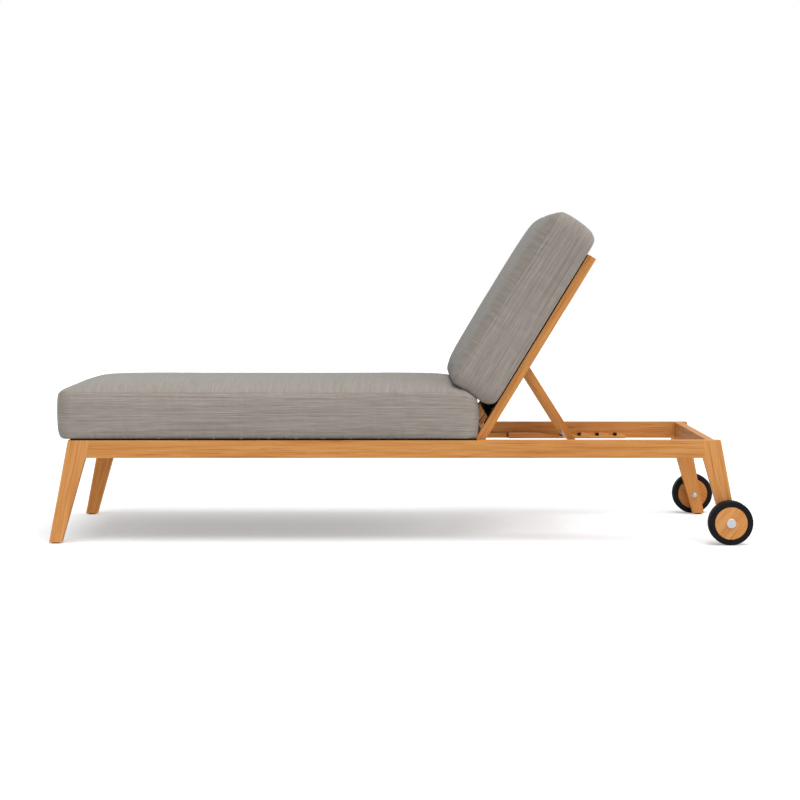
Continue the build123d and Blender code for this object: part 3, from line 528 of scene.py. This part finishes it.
# Back cushion, along the backrest from its pivot
BACK_LENGTH = 592 * MM
BACK_WIDTH = 694 * MM
BACK_START = 113 * MM
BACK_MIDDLE = BACK_START + BACK_LENGTH / 2
BACK_BOTTOM = 14.6 * MM
BACK_END_EASE = 20 * MM
BACK_SIDE_EASE = 12 * MM
BACK_TILT = 5.5 * MM
BACK_PRESSED = 116.5 * MM
BACK_SOFTNESS = 1.5 * MM
BACK_REST_EDGE = 296 * MM
LOW_REACH = 6 * MM
LOW_HEIGHT = 90 * MM
TOP_FULLNESS = 14 * MM
TOP_FULL_REACH = 62 * MM
BAR_MARGIN = 6 * MM

# Webbing under the cushions: places of the straps, and how far the cushions sink between them
SEAT_STRAP_COUNT = 14
SEAT_STRAP_FIRST = -857.39 * MM
SEAT_STRAP_LAST = 176.25 * MM
SEAT_STRAPS = np.linspace(SEAT_STRAP_FIRST, SEAT_STRAP_LAST, SEAT_STRAP_COUNT)
SEAT_STRAP_WIDTH = 60 * MM
BACK_STRAP_COUNT = 8
BACK_STRAP_FIRST = 112.5 * MM
BACK_STRAP_LAST = 584.5 * MM
BACK_STRAPS = np.linspace(BACK_STRAP_FIRST, BACK_STRAP_LAST, BACK_STRAP_COUNT)
BACK_STRAP_WIDTH = 55 * MM
STRAP_DENT = 2.4 * MM
STRAP_MARGIN = 2 * MM
RAIL_MARGIN = 12 * MM
BAND_THICKNESS = 0.9 * MM

# Net of faces: even, but closer together beside the seams
NET_PITCH = 8 * MM
NEAR_SEAM = (3 * MM, 8 * MM, 15 * MM)

# Below this, two lengths count as the same
NEAR = 1e-6


def net_places(total):
    """Places from 0 to total: close together near both ends, even between them."""
    start = NEAR_SEAM[-1]
    count = max(2, round((total - 2 * start) / NET_PITCH))
    inner = np.linspace(start, total - start, count + 1)
    return np.concatenate([[0], NEAR_SEAM[:-1], inner, total - np.array(NEAR_SEAM[-2::-1]), [total]])


def smooth_curve(at, xs, ys):
    """Smooth monotone curve through points."""
    xs, ys = np.array(xs, float), np.array(ys, float)
    steps = np.diff(xs)
    slopes = np.diff(ys) / steps
    lean = np.zeros(len(xs))
    lean[0], lean[-1] = slopes[0], slopes[-1]
    both = slopes[1:] * slopes[:-1] > 0
    later, earlier = np.where(both, slopes[1:], 1), np.where(both, slopes[:-1], 1)
    lean[1:-1] = np.where(both, 2 / (1 / later + 1 / earlier), 0)
    i = np.clip(np.searchsorted(xs, at) - 1, 0, len(steps) - 1)
    t = np.clip((at - xs[i]) / steps[i], 0, 1)
    return ((1 + 2 * t) * (1 - t) ** 2 * ys[i] + t * (1 - t) ** 2 * steps[i] * lean[i]
            + t * t * (3 - 2 * t) * ys[i + 1] + t * t * (t - 1) * steps[i] * lean[i + 1])


def crown_rise(from_edge, run):
    return smooth_curve(from_edge / run, CROWN_PLACE_SHARES, CROWN_RISE_SHARES)


def boxed_net(length, width):
    """Net of a closed box: canonical vertex places, faces, and what each face corner has for its weave."""
    xs = net_places(length) - length / 2
    ys = net_places(width) - width / 2
    zs = net_places(CUSHION_SIDE)
    nx, ny, nz = len(xs) - 1, len(ys) - 1, len(zs) - 1
    found, verts, faces, weave = {}, [], [], []

    def vertex(i, j, k):
        if (i, j, k) not in found:
            found[i, j, k] = len(verts)
            verts.append((xs[i], ys[j], zs[k]))
        return found[i, j, k]

    for k, order in ((0, -1), (nz, 1)):
        for i in range(nx):
            for j in range(ny):
                ring = [(i, j), (i + 1, j), (i + 1, j + 1), (i, j + 1)][::order]
                faces.append([vertex(a, b, k) for a, b in ring])
                weave += [(ys[b], xs[a], min(length / 2 - abs(xs[a]), width / 2 - abs(ys[b])))
                          for a, b in ring]
    rim = [(i, 0) for i in range(nx)] + [(nx, j) for j in range(ny)]
    rim += [(i, ny) for i in range(nx, 0, -1)] + [(0, j) for j in range(ny, -1, -1)]
    run = [0.0]
    for (a, b), (c, d) in zip(rim, rim[1:]):
        run.append(run[-1] + abs(xs[c] - xs[a]) + abs(ys[d] - ys[b]))
    for n in range(len(rim) - 1):
        for k in range(nz):
            ring = [(n, k), (n + 1, k), (n + 1, k + 1), (n, k + 1)]
            faces.append([vertex(*rim[m], h) for m, h in ring])
            weave += [(run[m], zs[h] + SIDE_WEAVE, min(zs[h], CUSHION_SIDE - zs[h])) for m, h in ring]
    return np.array(verts), faces, np.array(weave)


def boxed_shape(canon, length, width, end_ease, side_ease, start_insets, stop_insets, tilt):
    """Cushion form of canonical places: rounded corners, swelling boxed sides and a crowned panel."""
    half_length, half_width = length / 2, width / 2
    x, y, z = canon.T
    # The square corners become quarter discs
    in_x = np.clip(np.abs(x) - (half_length - CORNER), 0, None) / CORNER
    in_y = np.clip(np.abs(y) - (half_width - CORNER), 0, None) / CORNER
    corner = (in_x > 0) & (in_y > 0)
    disc_x = np.where(corner, in_x * np.sqrt(1 - in_y ** 2 / 2), in_x)
    disc_y = np.where(corner, in_y * np.sqrt(1 - in_x ** 2 / 2), in_y)
    new_x = np.sign(x) * (np.minimum(np.abs(x), half_length - CORNER) + CORNER * disc_x)
    new_y = np.sign(y) * (np.minimum(np.abs(y), half_width - CORNER) + CORNER * disc_y)
    # The long sides pull in between the corners, and the short ones stand out a little
    new_y = new_y * (1 - DRAW_IN / half_width * (1 - (x / half_length) ** 2))
    new_x = new_x * (1 + BOW / half_length * (1 - (y / half_width) ** 2))
    # Boxed sides are rounded at the foot, swell, and come in again to the seam
    height = z / CUSHION_SIDE
    start_inset = smooth_curve(height, SIDE_HEIGHT_SHARES, start_insets)
    stop_inset = smooth_curve(height, SIDE_HEIGHT_SHARES, stop_insets)
    long_inset = smooth_curve(height, SIDE_HEIGHT_SHARES, LONG_INSET_SHARES)
    new_x = new_x * (1 - np.where(x < 0, start_inset, stop_inset) * end_ease / half_length)
    new_y = new_y * (1 - long_inset * side_ease / half_width)
    # The crowned panel, with its seam tilted from one end to the other
    run = CROWN_RUN_SHARE * min(half_length, half_width)
    rise = crown_rise(half_length - np.abs(x), run) * crown_rise(half_width - np.abs(y), run)
    lift = -tilt * x / half_length
    top = z > CUSHION_SIDE - NEAR
    new_z = z + lift * height + np.where(top, (CUSHION_CROWN - lift) * rise, 0)
    return np.stack([new_x, new_y, new_z], 1)


def soft_least(first, second, softness):
    """The lesser of two, rounded where they meet."""
    return -softness * np.logaddexp(-first / softness, -second / softness)


def pressed_end(points, canon):
    """The seat cushion's head end is pressed down into a slope by the back cushion."""
    slope = pi / 2 - BACK_ANGLE
    x, z = points[:, 0], points[:, 2]
    limit = PRESSED_HEIGHT + (SEAT_LENGTH / 2 - x) * np.tan(slope)
    seam_drop = CUSHION_SIDE - soft_least(np.full_like(limit, CUSHION_SIDE), limit, PRESSED_SOFTNESS)
    share = np.clip((canon[:, 2] - PRESSED_FROM) / (CUSHION_SIDE - PRESSED_FROM), 0, 1)
    share = share ** PRESSED_POWER
    pressed = soft_least(z, limit, PRESSED_SOFTNESS)
    points[:, 2] = np.where(canon[:, 2] > CUSHION_SIDE - NEAR, pressed, z - seam_drop * share)
    return points


def fuller_top(points, canon):
    """The back cushion's panel stands fuller just before its top end."""
    x, y, z = canon.T
    share = np.clip((BACK_LENGTH / 2 - x) / TOP_FULL_REACH, 0, 1)
    fuller = TOP_FULLNESS * share * (1 - share) ** 2 * np.where(z > CUSHION_SIDE - NEAR, 1, 0)
    points[:, 2] += fuller * crown_rise(BACK_WIDTH / 2 - np.abs(y), CROWN_RUN_SHARE * BACK_LENGTH / 2)
    return points


def rounded_low_end(points):
    """The back cushion's low end is pressed up where it meets the seat cushion, less so at its foot."""
    least = BACK_PRESSED - BACK_MIDDLE
    least = least - LOW_REACH * np.clip((LOW_HEIGHT - points[:, 2]) / LOW_HEIGHT, 0, 1)
    points[:, 0] = -soft_least(-points[:, 0], -least, BACK_SOFTNESS)
    return points


def net_object(name, points, faces, weave, canon):
    mesh = bpy.data.meshes.new(name)
    mesh.from_pydata(points.tolist(), [], faces)
    mesh.attributes.new("weave", "FLOAT_VECTOR", "CORNER").data.foreach_set("vector", weave.ravel())
    mesh.attributes.new("canon", "FLOAT_VECTOR", "POINT").data.foreach_set("vector", canon.ravel())
    made = bpy.data.objects.new(name, mesh)
    scene.collection.objects.link(made)
    return made


def read(what, attribute, width=3):
    values = np.empty(len(what) * width, np.float32)
    what.foreach_get(attribute, values)
    return values.reshape(-1, width).astype(float)


def write_points(mesh, points):
    mesh.vertices.foreach_set("co", points.ravel().astype(np.float32))


def evaluated_mesh(obj):
    graph = bpy.context.evaluated_depsgraph_get()
    return bpy.data.meshes.new_from_object(obj.evaluated_get(graph), preserve_all_data_layers=True,
                                           depsgraph=graph)


# Cloth simulation. Moves under the least one aren't divided by their size.
SIM_FRAMES = 20
SIM_PRESSURE = 4
LEAST_MOVE = 1e-9
SWELL_CAP = 7 * MM
SEAM_HOLD = 0.7
PANEL_HOLD = 0.08


def hold_weights(canon, length, width):
    """How firmly each point of the net keeps its place: the flat underside fully, the seams strongly."""
    x, y, z = canon.T
    edge = np.minimum(length / 2 - np.abs(x), width / 2 - np.abs(y))
    seam = np.where((edge < NEAR) & (np.abs(z - CUSHION_SIDE) < NEAR), SEAM_HOLD, PANEL_HOLD)
    return np.where(z < NEAR, 1.0, seam)


def inflate(obj, hold):
    """Returns the net with each face split in four, swollen as cloth by at most the cap."""
    fine = obj.modifiers.new("fine", "SUBSURF")
    fine.levels = fine.render_levels = 1
    rest = evaluated_mesh(obj)
    group = obj.vertex_groups.new(name="hold")
    for weight in np.unique(np.round(hold, 2)):
        group.add(np.nonzero(np.round(hold, 2) == weight)[0].tolist(), float(weight), "REPLACE")
    swell = obj.modifiers.new("swell", "CLOTH")
    obj.modifiers.move(1, 0)
    settings = swell.settings
    settings.quality = 5
    settings.mass = 0.3
    settings.tension_stiffness = settings.compression_stiffness = 12
    settings.shear_stiffness = 5
    settings.bending_stiffness = 0.4
    settings.use_pressure = True
    settings.uniform_pressure_force = SIM_PRESSURE
    settings.vertex_group_mass = "hold"
    settings.pin_stiffness = 1
    settings.shrink_min = -0.005
    settings.effector_weights.gravity = 0
    swell.collision_settings.use_collision = False
    swell.collision_settings.use_self_collision = False
    swell.point_cache.frame_end = SIM_FRAMES
    for number in range(1, SIM_FRAMES + 1):
        scene.frame_set(number)
    swollen = evaluated_mesh(obj)
    points = read(rest.vertices, "co")
    move = read(swollen.vertices, "co") - points
    size = np.linalg.norm(move, axis=1, keepdims=True)
    write_points(rest, points + move * SWELL_CAP * np.tanh(size / SWELL_CAP) / np.maximum(size, LEAST_MOVE))
    obj.modifiers.clear()
    scene.frame_set(1)
    return rest


# Seams and the puckers beside them
SEAM_DEPTH = 1.6 * MM
SEAM_REACH = 4.5 * MM
PUCKER_HEIGHT = 1.1 * MM
PUCKER_REACH = 20 * MM
PUCKER_WAVES = (19 * MM, 25 * MM, 34 * MM)
TOP_SEAM_SHARE = 1.0
LOW_SEAM_SHARE = 0.6
SWING_WAVES = 5
RIPPLE_GAIN = 1.4
LONG_SIDE_SHIFT = 0.3
SHORT_SIDE_SHIFT = 0.7


def ripple(at, seed):
    """Uneven wave along a seam from a few sines, between about -1 and 1."""
    draw = np.random.default_rng(seed)
    total = np.zeros_like(at)
    for length in PUCKER_WAVES:
        start, slow, late = draw.uniform(0, FULL_TURN, 3)
        swing = 0.5 + 0.5 * np.sin(FULL_TURN * at / (length * (SWING_WAVES + slow)) + late)
        total += swing * np.sin(FULL_TURN * at / length + start)
    return total / len(PUCKER_WAVES) * RIPPLE_GAIN


def sew(mesh, length, width, seed):
    """Draws the seams in and puckers the cloth beside them."""
    mesh.update()
    points = read(mesh.vertices, "co")
    normals = read(mesh.vertex_normals, "vector")
    x, y, z = read(mesh.attributes["canon"].data, "vector").T
    to_x, to_y = length / 2 - np.abs(x), width / 2 - np.abs(y)
    move = np.zeros(len(points))
    for level, share in ((CUSHION_SIDE, TOP_SEAM_SHARE), (0, LOW_SEAM_SHARE)):
        off = np.abs(z - level)
        off_x, off_y = np.hypot(off, to_x), np.hypot(off, to_y)
        nearest = np.minimum(off_x, off_y)
        move -= share * SEAM_DEPTH * np.exp(-(nearest / SEAM_REACH) ** 2)
        long_side = ripple(x + LONG_SIDE_SHIFT * np.sign(y), seed) * np.exp(-off_y / PUCKER_REACH)
        short_side = ripple(y + SHORT_SIDE_SHIFT * np.sign(x), seed + 1) * np.exp(-off_x / PUCKER_REACH)
        pucker = np.where(off_y < off_x, long_side, short_side)
        move += share * PUCKER_HEIGHT * pucker * np.minimum(1, nearest / SEAM_REACH)
    write_points(mesh, points + normals * move[:, None])
    mesh.update()


def rest_on_straps(mesh, straps_at, width, rest_edge, flat_from):
    """The underside lies on its webbing and its edge bands, and sinks a little between the straps.

    From flat_from on it doesn't sink.
    """
    points = read(mesh.vertices, "co")
    off = np.abs(points[:, :1] - straps_at[None, :]).min(1) - width / 2
    half_gap = (straps_at[1] - straps_at[0] - width) / 2
    off_rail = (rest_edge - np.abs(points[:, 1])) / RAIL_MARGIN
    sink = np.clip((off - STRAP_MARGIN) / (half_gap - STRAP_MARGIN), 0, 1)
    sink *= np.clip(off_rail, 0, 1)
    sink *= np.clip((flat_from - points[:, 0]) / RAIL_MARGIN, 0, 1)
    base = STRAP_DENT * (0.5 + 0.5 * np.cos(pi * sink))
    base += BAND_THICKNESS * np.clip(1 - off_rail, 0, 1)
    points[:, 2] = np.maximum(points[:, 2], base)
    write_points(mesh, points)


SEAT_SEED = 11
BACK_SEED = 23


def finish_soft(obj, mesh, cloth, body, node_name):
    old = obj.data
    obj.data = mesh
    bpy.data.meshes.remove(old)
    mesh.materials.clear()
    mesh.materials.append(cloth)
    mesh.polygons.foreach_set("use_smooth", [True] * len(mesh.polygons))
    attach(obj, body)
    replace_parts(obj, node_name)


def seat_cushion():
    canon, faces, weave = boxed_net(SEAT_LENGTH, SEAT_WIDTH)
    points = boxed_shape(canon, SEAT_LENGTH, SEAT_WIDTH, SEAT_END_EASE, SEAT_SIDE_EASE,
                         SEAT_FOOT_INSET_SHARES, SEAT_HEAD_INSET_SHARES, 0)
    obj = net_object("seat_cushion_cover", pressed_end(points, canon), faces, weave, canon)
    mesh = inflate(obj, hold_weights(canon, SEAT_LENGTH, SEAT_WIDTH))
    sew(mesh, SEAT_LENGTH, SEAT_WIDTH, SEAT_SEED)
    rest_on_straps(mesh, SEAT_STRAPS - SEAT_MIDDLE, SEAT_STRAP_WIDTH, SEAT_REST_EDGE, SEAT_LENGTH)
    mesh.transform(Matrix.Translation((SEAT_MIDDLE, 0, SEAT_BOTTOM)))
    finish_soft(obj, mesh, seat_cloth, "frame", "seat_cushion")


def back_cushion():
    canon, faces, weave = boxed_net(BACK_LENGTH, BACK_WIDTH)
    points = boxed_shape(canon, BACK_LENGTH, BACK_WIDTH, BACK_END_EASE, BACK_SIDE_EASE,
                         BACK_LOW_INSET_SHARES, BACK_TOP_INSET_SHARES, BACK_TILT)
    obj = net_object("back_cushion_cover", fuller_top(points, canon), faces, weave, canon)
    mesh = inflate(obj, hold_weights(canon, BACK_LENGTH, BACK_WIDTH))
    sew(mesh, BACK_LENGTH, BACK_WIDTH, BACK_SEED)
    write_points(mesh, rounded_low_end(read(mesh.vertices, "co")))
    # Flat, the backrest lays the cushion's top end over the head crossbar
    over_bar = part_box("head_crossbar")[0][0] - PIVOT.x - BAR_MARGIN
    rest_on_straps(mesh, BACK_STRAPS - BACK_MIDDLE, BACK_STRAP_WIDTH, BACK_REST_EDGE, over_bar - BACK_MIDDLE)
    mesh.transform(BACK_FRAME @ Matrix.Translation((BACK_MIDDLE, 0, BACK_BOTTOM)))
    finish_soft(obj, mesh, back_cloth_toned_and_shaded, "backrest", "back_cushion")


seat_cushion()
back_cushion()

# Webbing
WEBBING_DARK = linear(8, 8, 9)
WEBBING_LIGHT = linear(27, 26, 26)
WEBBING_LEVELS = (0.3, 0.8)
RIB_PITCH = 2.2 * MM
THREAD_PITCH = 3 * MM
FUZZ_STRETCH = (260, 900, 1)
HERRINGBONE_SHARE = 0.25
WEBBING_ROUGHNESS = 0.85
WEBBING_SPECULAR = 0.1
WEBBING_RELIEF = 0.3 * MM
WEBBING_RELIEF_STRENGTH = 0.8


def webbing_material():
    material, tree, shader = new_material("webbing")
    weave = node(tree, "ShaderNodeAttribute", attribute_name="weave").outputs["Vector"]
    run, cross, _ = split(tree, weave)
    ribs = maths(tree, "SINE", times(tree, run, FULL_TURN / RIB_PITCH))
    threads = maths(tree, "SINE", times(tree, cross, FULL_TURN / THREAD_PITCH))
    fuzz = noise(tree, stretched(tree, weave, FUZZ_STRETCH), detail=3)
    tone = plus(tree, times(tree, times(tree, ribs, threads), HERRINGBONE_SHARE), fuzz)
    colour = ramp(tree, tone, WEBBING_LEVELS, (WEBBING_DARK, WEBBING_LIGHT))
    tree.links.new(colour, shader.inputs["Base Color"])
    shader.inputs["Roughness"].default_value = WEBBING_ROUGHNESS
    shader.inputs["Specular IOR Level"].default_value = WEBBING_SPECULAR
    bump(tree, shader, tone, WEBBING_RELIEF, WEBBING_RELIEF_STRENGTH)
    return material


webbing = webbing_material()


def webbing_object(name, points, faces, weave, matrix, body):
    mesh = bpy.data.meshes.new(name)
    mesh.from_pydata(points, [], faces)
    data = np.array(weave).ravel()
    mesh.attributes.new("weave", "FLOAT_VECTOR", "CORNER").data.foreach_set("vector", data)
    mesh.transform(matrix)
    mesh.materials.append(webbing)
    obj = bpy.data.objects.new(name, mesh)
    scene.collection.objects.link(obj)
    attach(obj, body)
    return obj


# Straps: flat bands along Y with thinner rolled edges
STRAP_THICKNESS = 2.5 * MM
EDGE_ROLL = 0.8 * MM
STRAP_CELLS = 8
STRAP_STATIONS = 48
SEAT_STRAP_HALF_LENGTH = 350 * MM
SEAT_STRAP_BOTTOM = 300 * MM
BACK_STRAP_HALF_LENGTH = 318 * MM
BACK_STRAP_BOTTOM = 13 * MM


def strap_points(width, half_length):
    """One strap and its weave values."""
    across = np.linspace(-width / 2, width / 2, STRAP_CELLS + 1)
    thin = np.ones(STRAP_CELLS + 1)
    thin[0] = thin[-1] = (STRAP_THICKNESS - 2 * EDGE_ROLL) / STRAP_THICKNESS
    upper = [(u, STRAP_THICKNESS / 2 * (1 + t)) for u, t in zip(across, thin)]
    lower = [(u, STRAP_THICKNESS / 2 * (1 - t)) for u, t in zip(across[::-1], thin[::-1])]
    ring = upper + lower
    ys = np.linspace(-half_length, half_length, STRAP_STATIONS + 1)
    points = [(u, y, h) for y in ys for u, h in ring]
    count = len(ring)
    faces = []
    for s in range(STRAP_STATIONS):
        for n in range(count):
            m = (n + 1) % count
            faces.append([s * count + n, (s + 1) * count + n, (s + 1) * count + m, s * count + m])
    for end, order in ((0, 1), (STRAP_STATIONS * count, -1)):
        for n in range(STRAP_CELLS):
            faces.append([end + n, end + n + 1, end + count - 2 - n, end + count - 1 - n][::order])
    weave = [(points[v][1], points[v][0], 0) for face in faces for v in face]
    return np.array(points), faces, weave


def straps(name, middles, width, half_length, matrix, body, node_name):
    base, base_faces, base_weave = strap_points(width, half_length)
    points, faces, weave = [], [], []
    for middle in middles:
        start = len(points)
        points += (base + np.array((middle, 0, 0))).tolist()
        faces += [[start + v for v in face] for face in base_faces]
        weave += [(run + middle, cross, rest) for run, cross, rest in base_weave]
    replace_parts(webbing_object(name, points, faces, weave, matrix, body), node_name)


straps("seat_webbing", SEAT_STRAPS, SEAT_STRAP_WIDTH, SEAT_STRAP_HALF_LENGTH,
       Matrix.Translation((0, 0, SEAT_STRAP_BOTTOM)), "frame", "seat_straps")
straps("back_webbing", BACK_STRAPS, BACK_STRAP_WIDTH, BACK_STRAP_HALF_LENGTH,
       BACK_FRAME @ Matrix.Translation((0, 0, BACK_STRAP_BOTTOM)), "backrest", "back_straps")

# Edge bands: a black strip along each rail that fills the gaps between the straps' ends
BAND_BEND = 6 * MM
BAND_GAP = 0.4 * MM
BAND_DROP = 2.4 * MM
BAND_ROLL_SHARE = 0.3
BAND_FIRST_STATIONS = 10
BAND_LAST_STATIONS = 6
SEAT_BAND_START = -957 * MM
SEAT_BAND_STOP = 223 * MM
SEAT_BAND_MIDDLE = 339 * MM
SEAT_BAND_WIDTH = 26 * MM
SEAT_BAND_BOTTOM = 302.55 * MM
BACK_BAND_START = 62 * MM
BACK_BAND_STOP = 616 * MM
BACK_BAND_MIDDLE = 309 * MM
BACK_BAND_WIDTH = 20 * MM
BACK_BAND_BOTTOM = 15.55 * MM


def band_stations(start, stop, straps_at, strap_width):
    """Places along the band and its underside there: low between the straps, raised over them."""
    half_cut = strap_width / 2 + BAND_GAP
    stations = [(x, -BAND_DROP) for x in np.linspace(start, straps_at[0] - half_cut, BAND_FIRST_STATIONS)]
    for place in straps_at:
        left, right = place - half_cut, place + half_cut
        stations += [(left, -BAND_DROP), (left, 0), (right, 0), (right, -BAND_DROP)]
    stations += [(x, -BAND_DROP) for x in np.linspace(straps_at[-1] + half_cut, stop, BAND_LAST_STATIONS)]
    kept = [stations[0]] + [b for a, b in zip(stations, stations[1:]) if a != b]
    return np.array([(x, low) for x, low in kept if start <= x <= stop]).T


def edge_band(name, start, stop, middle, width, straps_at, strap_width, matrix, body):
    """A band along X at this Y, bent down at both ends."""
    xs, low = band_stations(start, stop, straps_at, strap_width)
    near = np.minimum(xs - start, stop - xs) / BAND_BEND
    fall = BAND_DROP * (0.5 + 0.5 * np.cos(pi * np.clip(near, 0, 1)))
    roll = BAND_ROLL_SHARE * BAND_THICKNESS
    edge = width / 2
    points = []
    for x, below, sink in zip(xs, low, fall):
        top = BAND_THICKNESS - sink
        ring = [(-edge, below), (0, below), (edge, below), (edge, top - roll), (edge - roll, top),
                (0, top), (roll - edge, top), (-edge, top - roll)]
        points += [(x, middle + y, z) for y, z in ring]
    count = len(ring)
    faces = [[s * count + n, s * count + (n + 1) % count, (s + 1) * count + (n + 1) % count,
              (s + 1) * count + n] for s in range(len(xs) - 1) for n in range(count)]
    faces += [list(range(count))[::-1], [(len(xs) - 1) * count + n for n in range(count)]]
    weave = [(points[v][0], points[v][1], 0) for face in faces for v in face]
    webbing_object(name, points, faces, weave, matrix, body)


for hand, sign in (("left", -1), ("right", 1)):
    edge_band(f"seat_band_{hand}", SEAT_BAND_START, SEAT_BAND_STOP, sign * SEAT_BAND_MIDDLE, SEAT_BAND_WIDTH,
              SEAT_STRAPS, SEAT_STRAP_WIDTH, Matrix.Translation((0, 0, SEAT_BAND_BOTTOM)), "frame")
    edge_band(f"back_band_{hand}", BACK_BAND_START, BACK_BAND_STOP, sign * BACK_BAND_MIDDLE, BACK_BAND_WIDTH,
              BACK_STRAPS, BACK_STRAP_WIDTH, BACK_FRAME @ Matrix.Translation((0, 0, BACK_BAND_BOTTOM)),
              "backrest")

# Floor, in metres: plain and pale, and white to the camera where no shadow falls
FLOOR_HALF = 30
FLOOR_COLOUR = (0.82, 0.82, 0.82, 1)
FLOOR_SEEN = (0.8, 0.82, 0.84, 1)
FLOOR_LIFT = 0.33
WHITE = (1, 1, 1, 1)


def floor_material():
    material, tree, _ = new_material("floor")
    tree.nodes.clear()
    seen = node(tree, "ShaderNodeLightPath").outputs["Is Camera Ray"]
    plain = node(tree, "ShaderNodeBsdfDiffuse", {"Color": FLOOR_COLOUR}).outputs[0]
    bright = node(tree, "ShaderNodeBsdfDiffuse", {"Color": FLOOR_SEEN}).outputs[0]
    lift = node(tree, "ShaderNodeEmission", {"Color": WHITE, "Strength": FLOOR_LIFT}).outputs[0]
    lifted = node(tree, "ShaderNodeAddShader", {0: bright, 1: lift}).outputs[0]
    mixed = node(tree, "ShaderNodeMixShader", {0: seen, 1: plain, 2: lifted}).outputs[0]
    tree.links.new(mixed, node(tree, "ShaderNodeOutputMaterial").inputs["Surface"])
    return material


def make_floor():
    corners = [(x * FLOOR_HALF, y * FLOOR_HALF, 0) for x, y in ((-1, -1), (1, -1), (1, 1), (-1, 1))]
    mesh = bpy.data.meshes.new("floor")
    mesh.from_pydata(corners, [], [(0, 1, 2, 3)])
    mesh.materials.append(floor_material())
    floor = bpy.data.objects.new("floor", mesh)
    scene.collection.objects.link(floor)


make_floor()

# Light: a soft sky, brighter towards the head end, and one broad soft lamp
SKY_STRENGTH = 0.6
SKY_LEAN = 0.85
LAMP_STRENGTH = 1.83
LAMP_SPREAD = radians(40)
LAMP_TURN = (radians(19), radians(4), 0)


def make_sky():
    world = bpy.data.worlds.new("world")
    scene.world = world
    world.use_nodes = True
    sky = world.node_tree
    sky.nodes.clear()
    path = node(sky, "ShaderNodeLightPath")
    seen = maths(sky, "MAXIMUM", path.outputs["Is Camera Ray"], path.outputs["Is Glossy Ray"])
    seen = maths(sky, "MAXIMUM", seen, path.outputs["Is Transmission Ray"])
    toward_head = split(sky, node(sky, "ShaderNodeTexCoord").outputs["Generated"])[0]
    level = times(sky, plus(sky, 1.0, times(sky, toward_head, SKY_LEAN)), SKY_STRENGTH)
    dim = node(sky, "ShaderNodeBackground", {"Color": WHITE, "Strength": level}).outputs[0]
    white = node(sky, "ShaderNodeBackground", {"Color": WHITE, "Strength": 1.0}).outputs[0]
    blend = node(sky, "ShaderNodeMixShader", {0: seen, 1: dim, 2: white}).outputs[0]
    sky.links.new(blend, node(sky, "ShaderNodeOutputWorld").inputs["Surface"])


def make_lamp():
    data = bpy.data.lights.new("key", "SUN")
    data.energy = LAMP_STRENGTH
    data.angle = LAMP_SPREAD
    lamp = bpy.data.objects.new("key", data)
    lamp.rotation_euler = LAMP_TURN
    scene.collection.objects.link(lamp)


make_sky()
make_lamp()
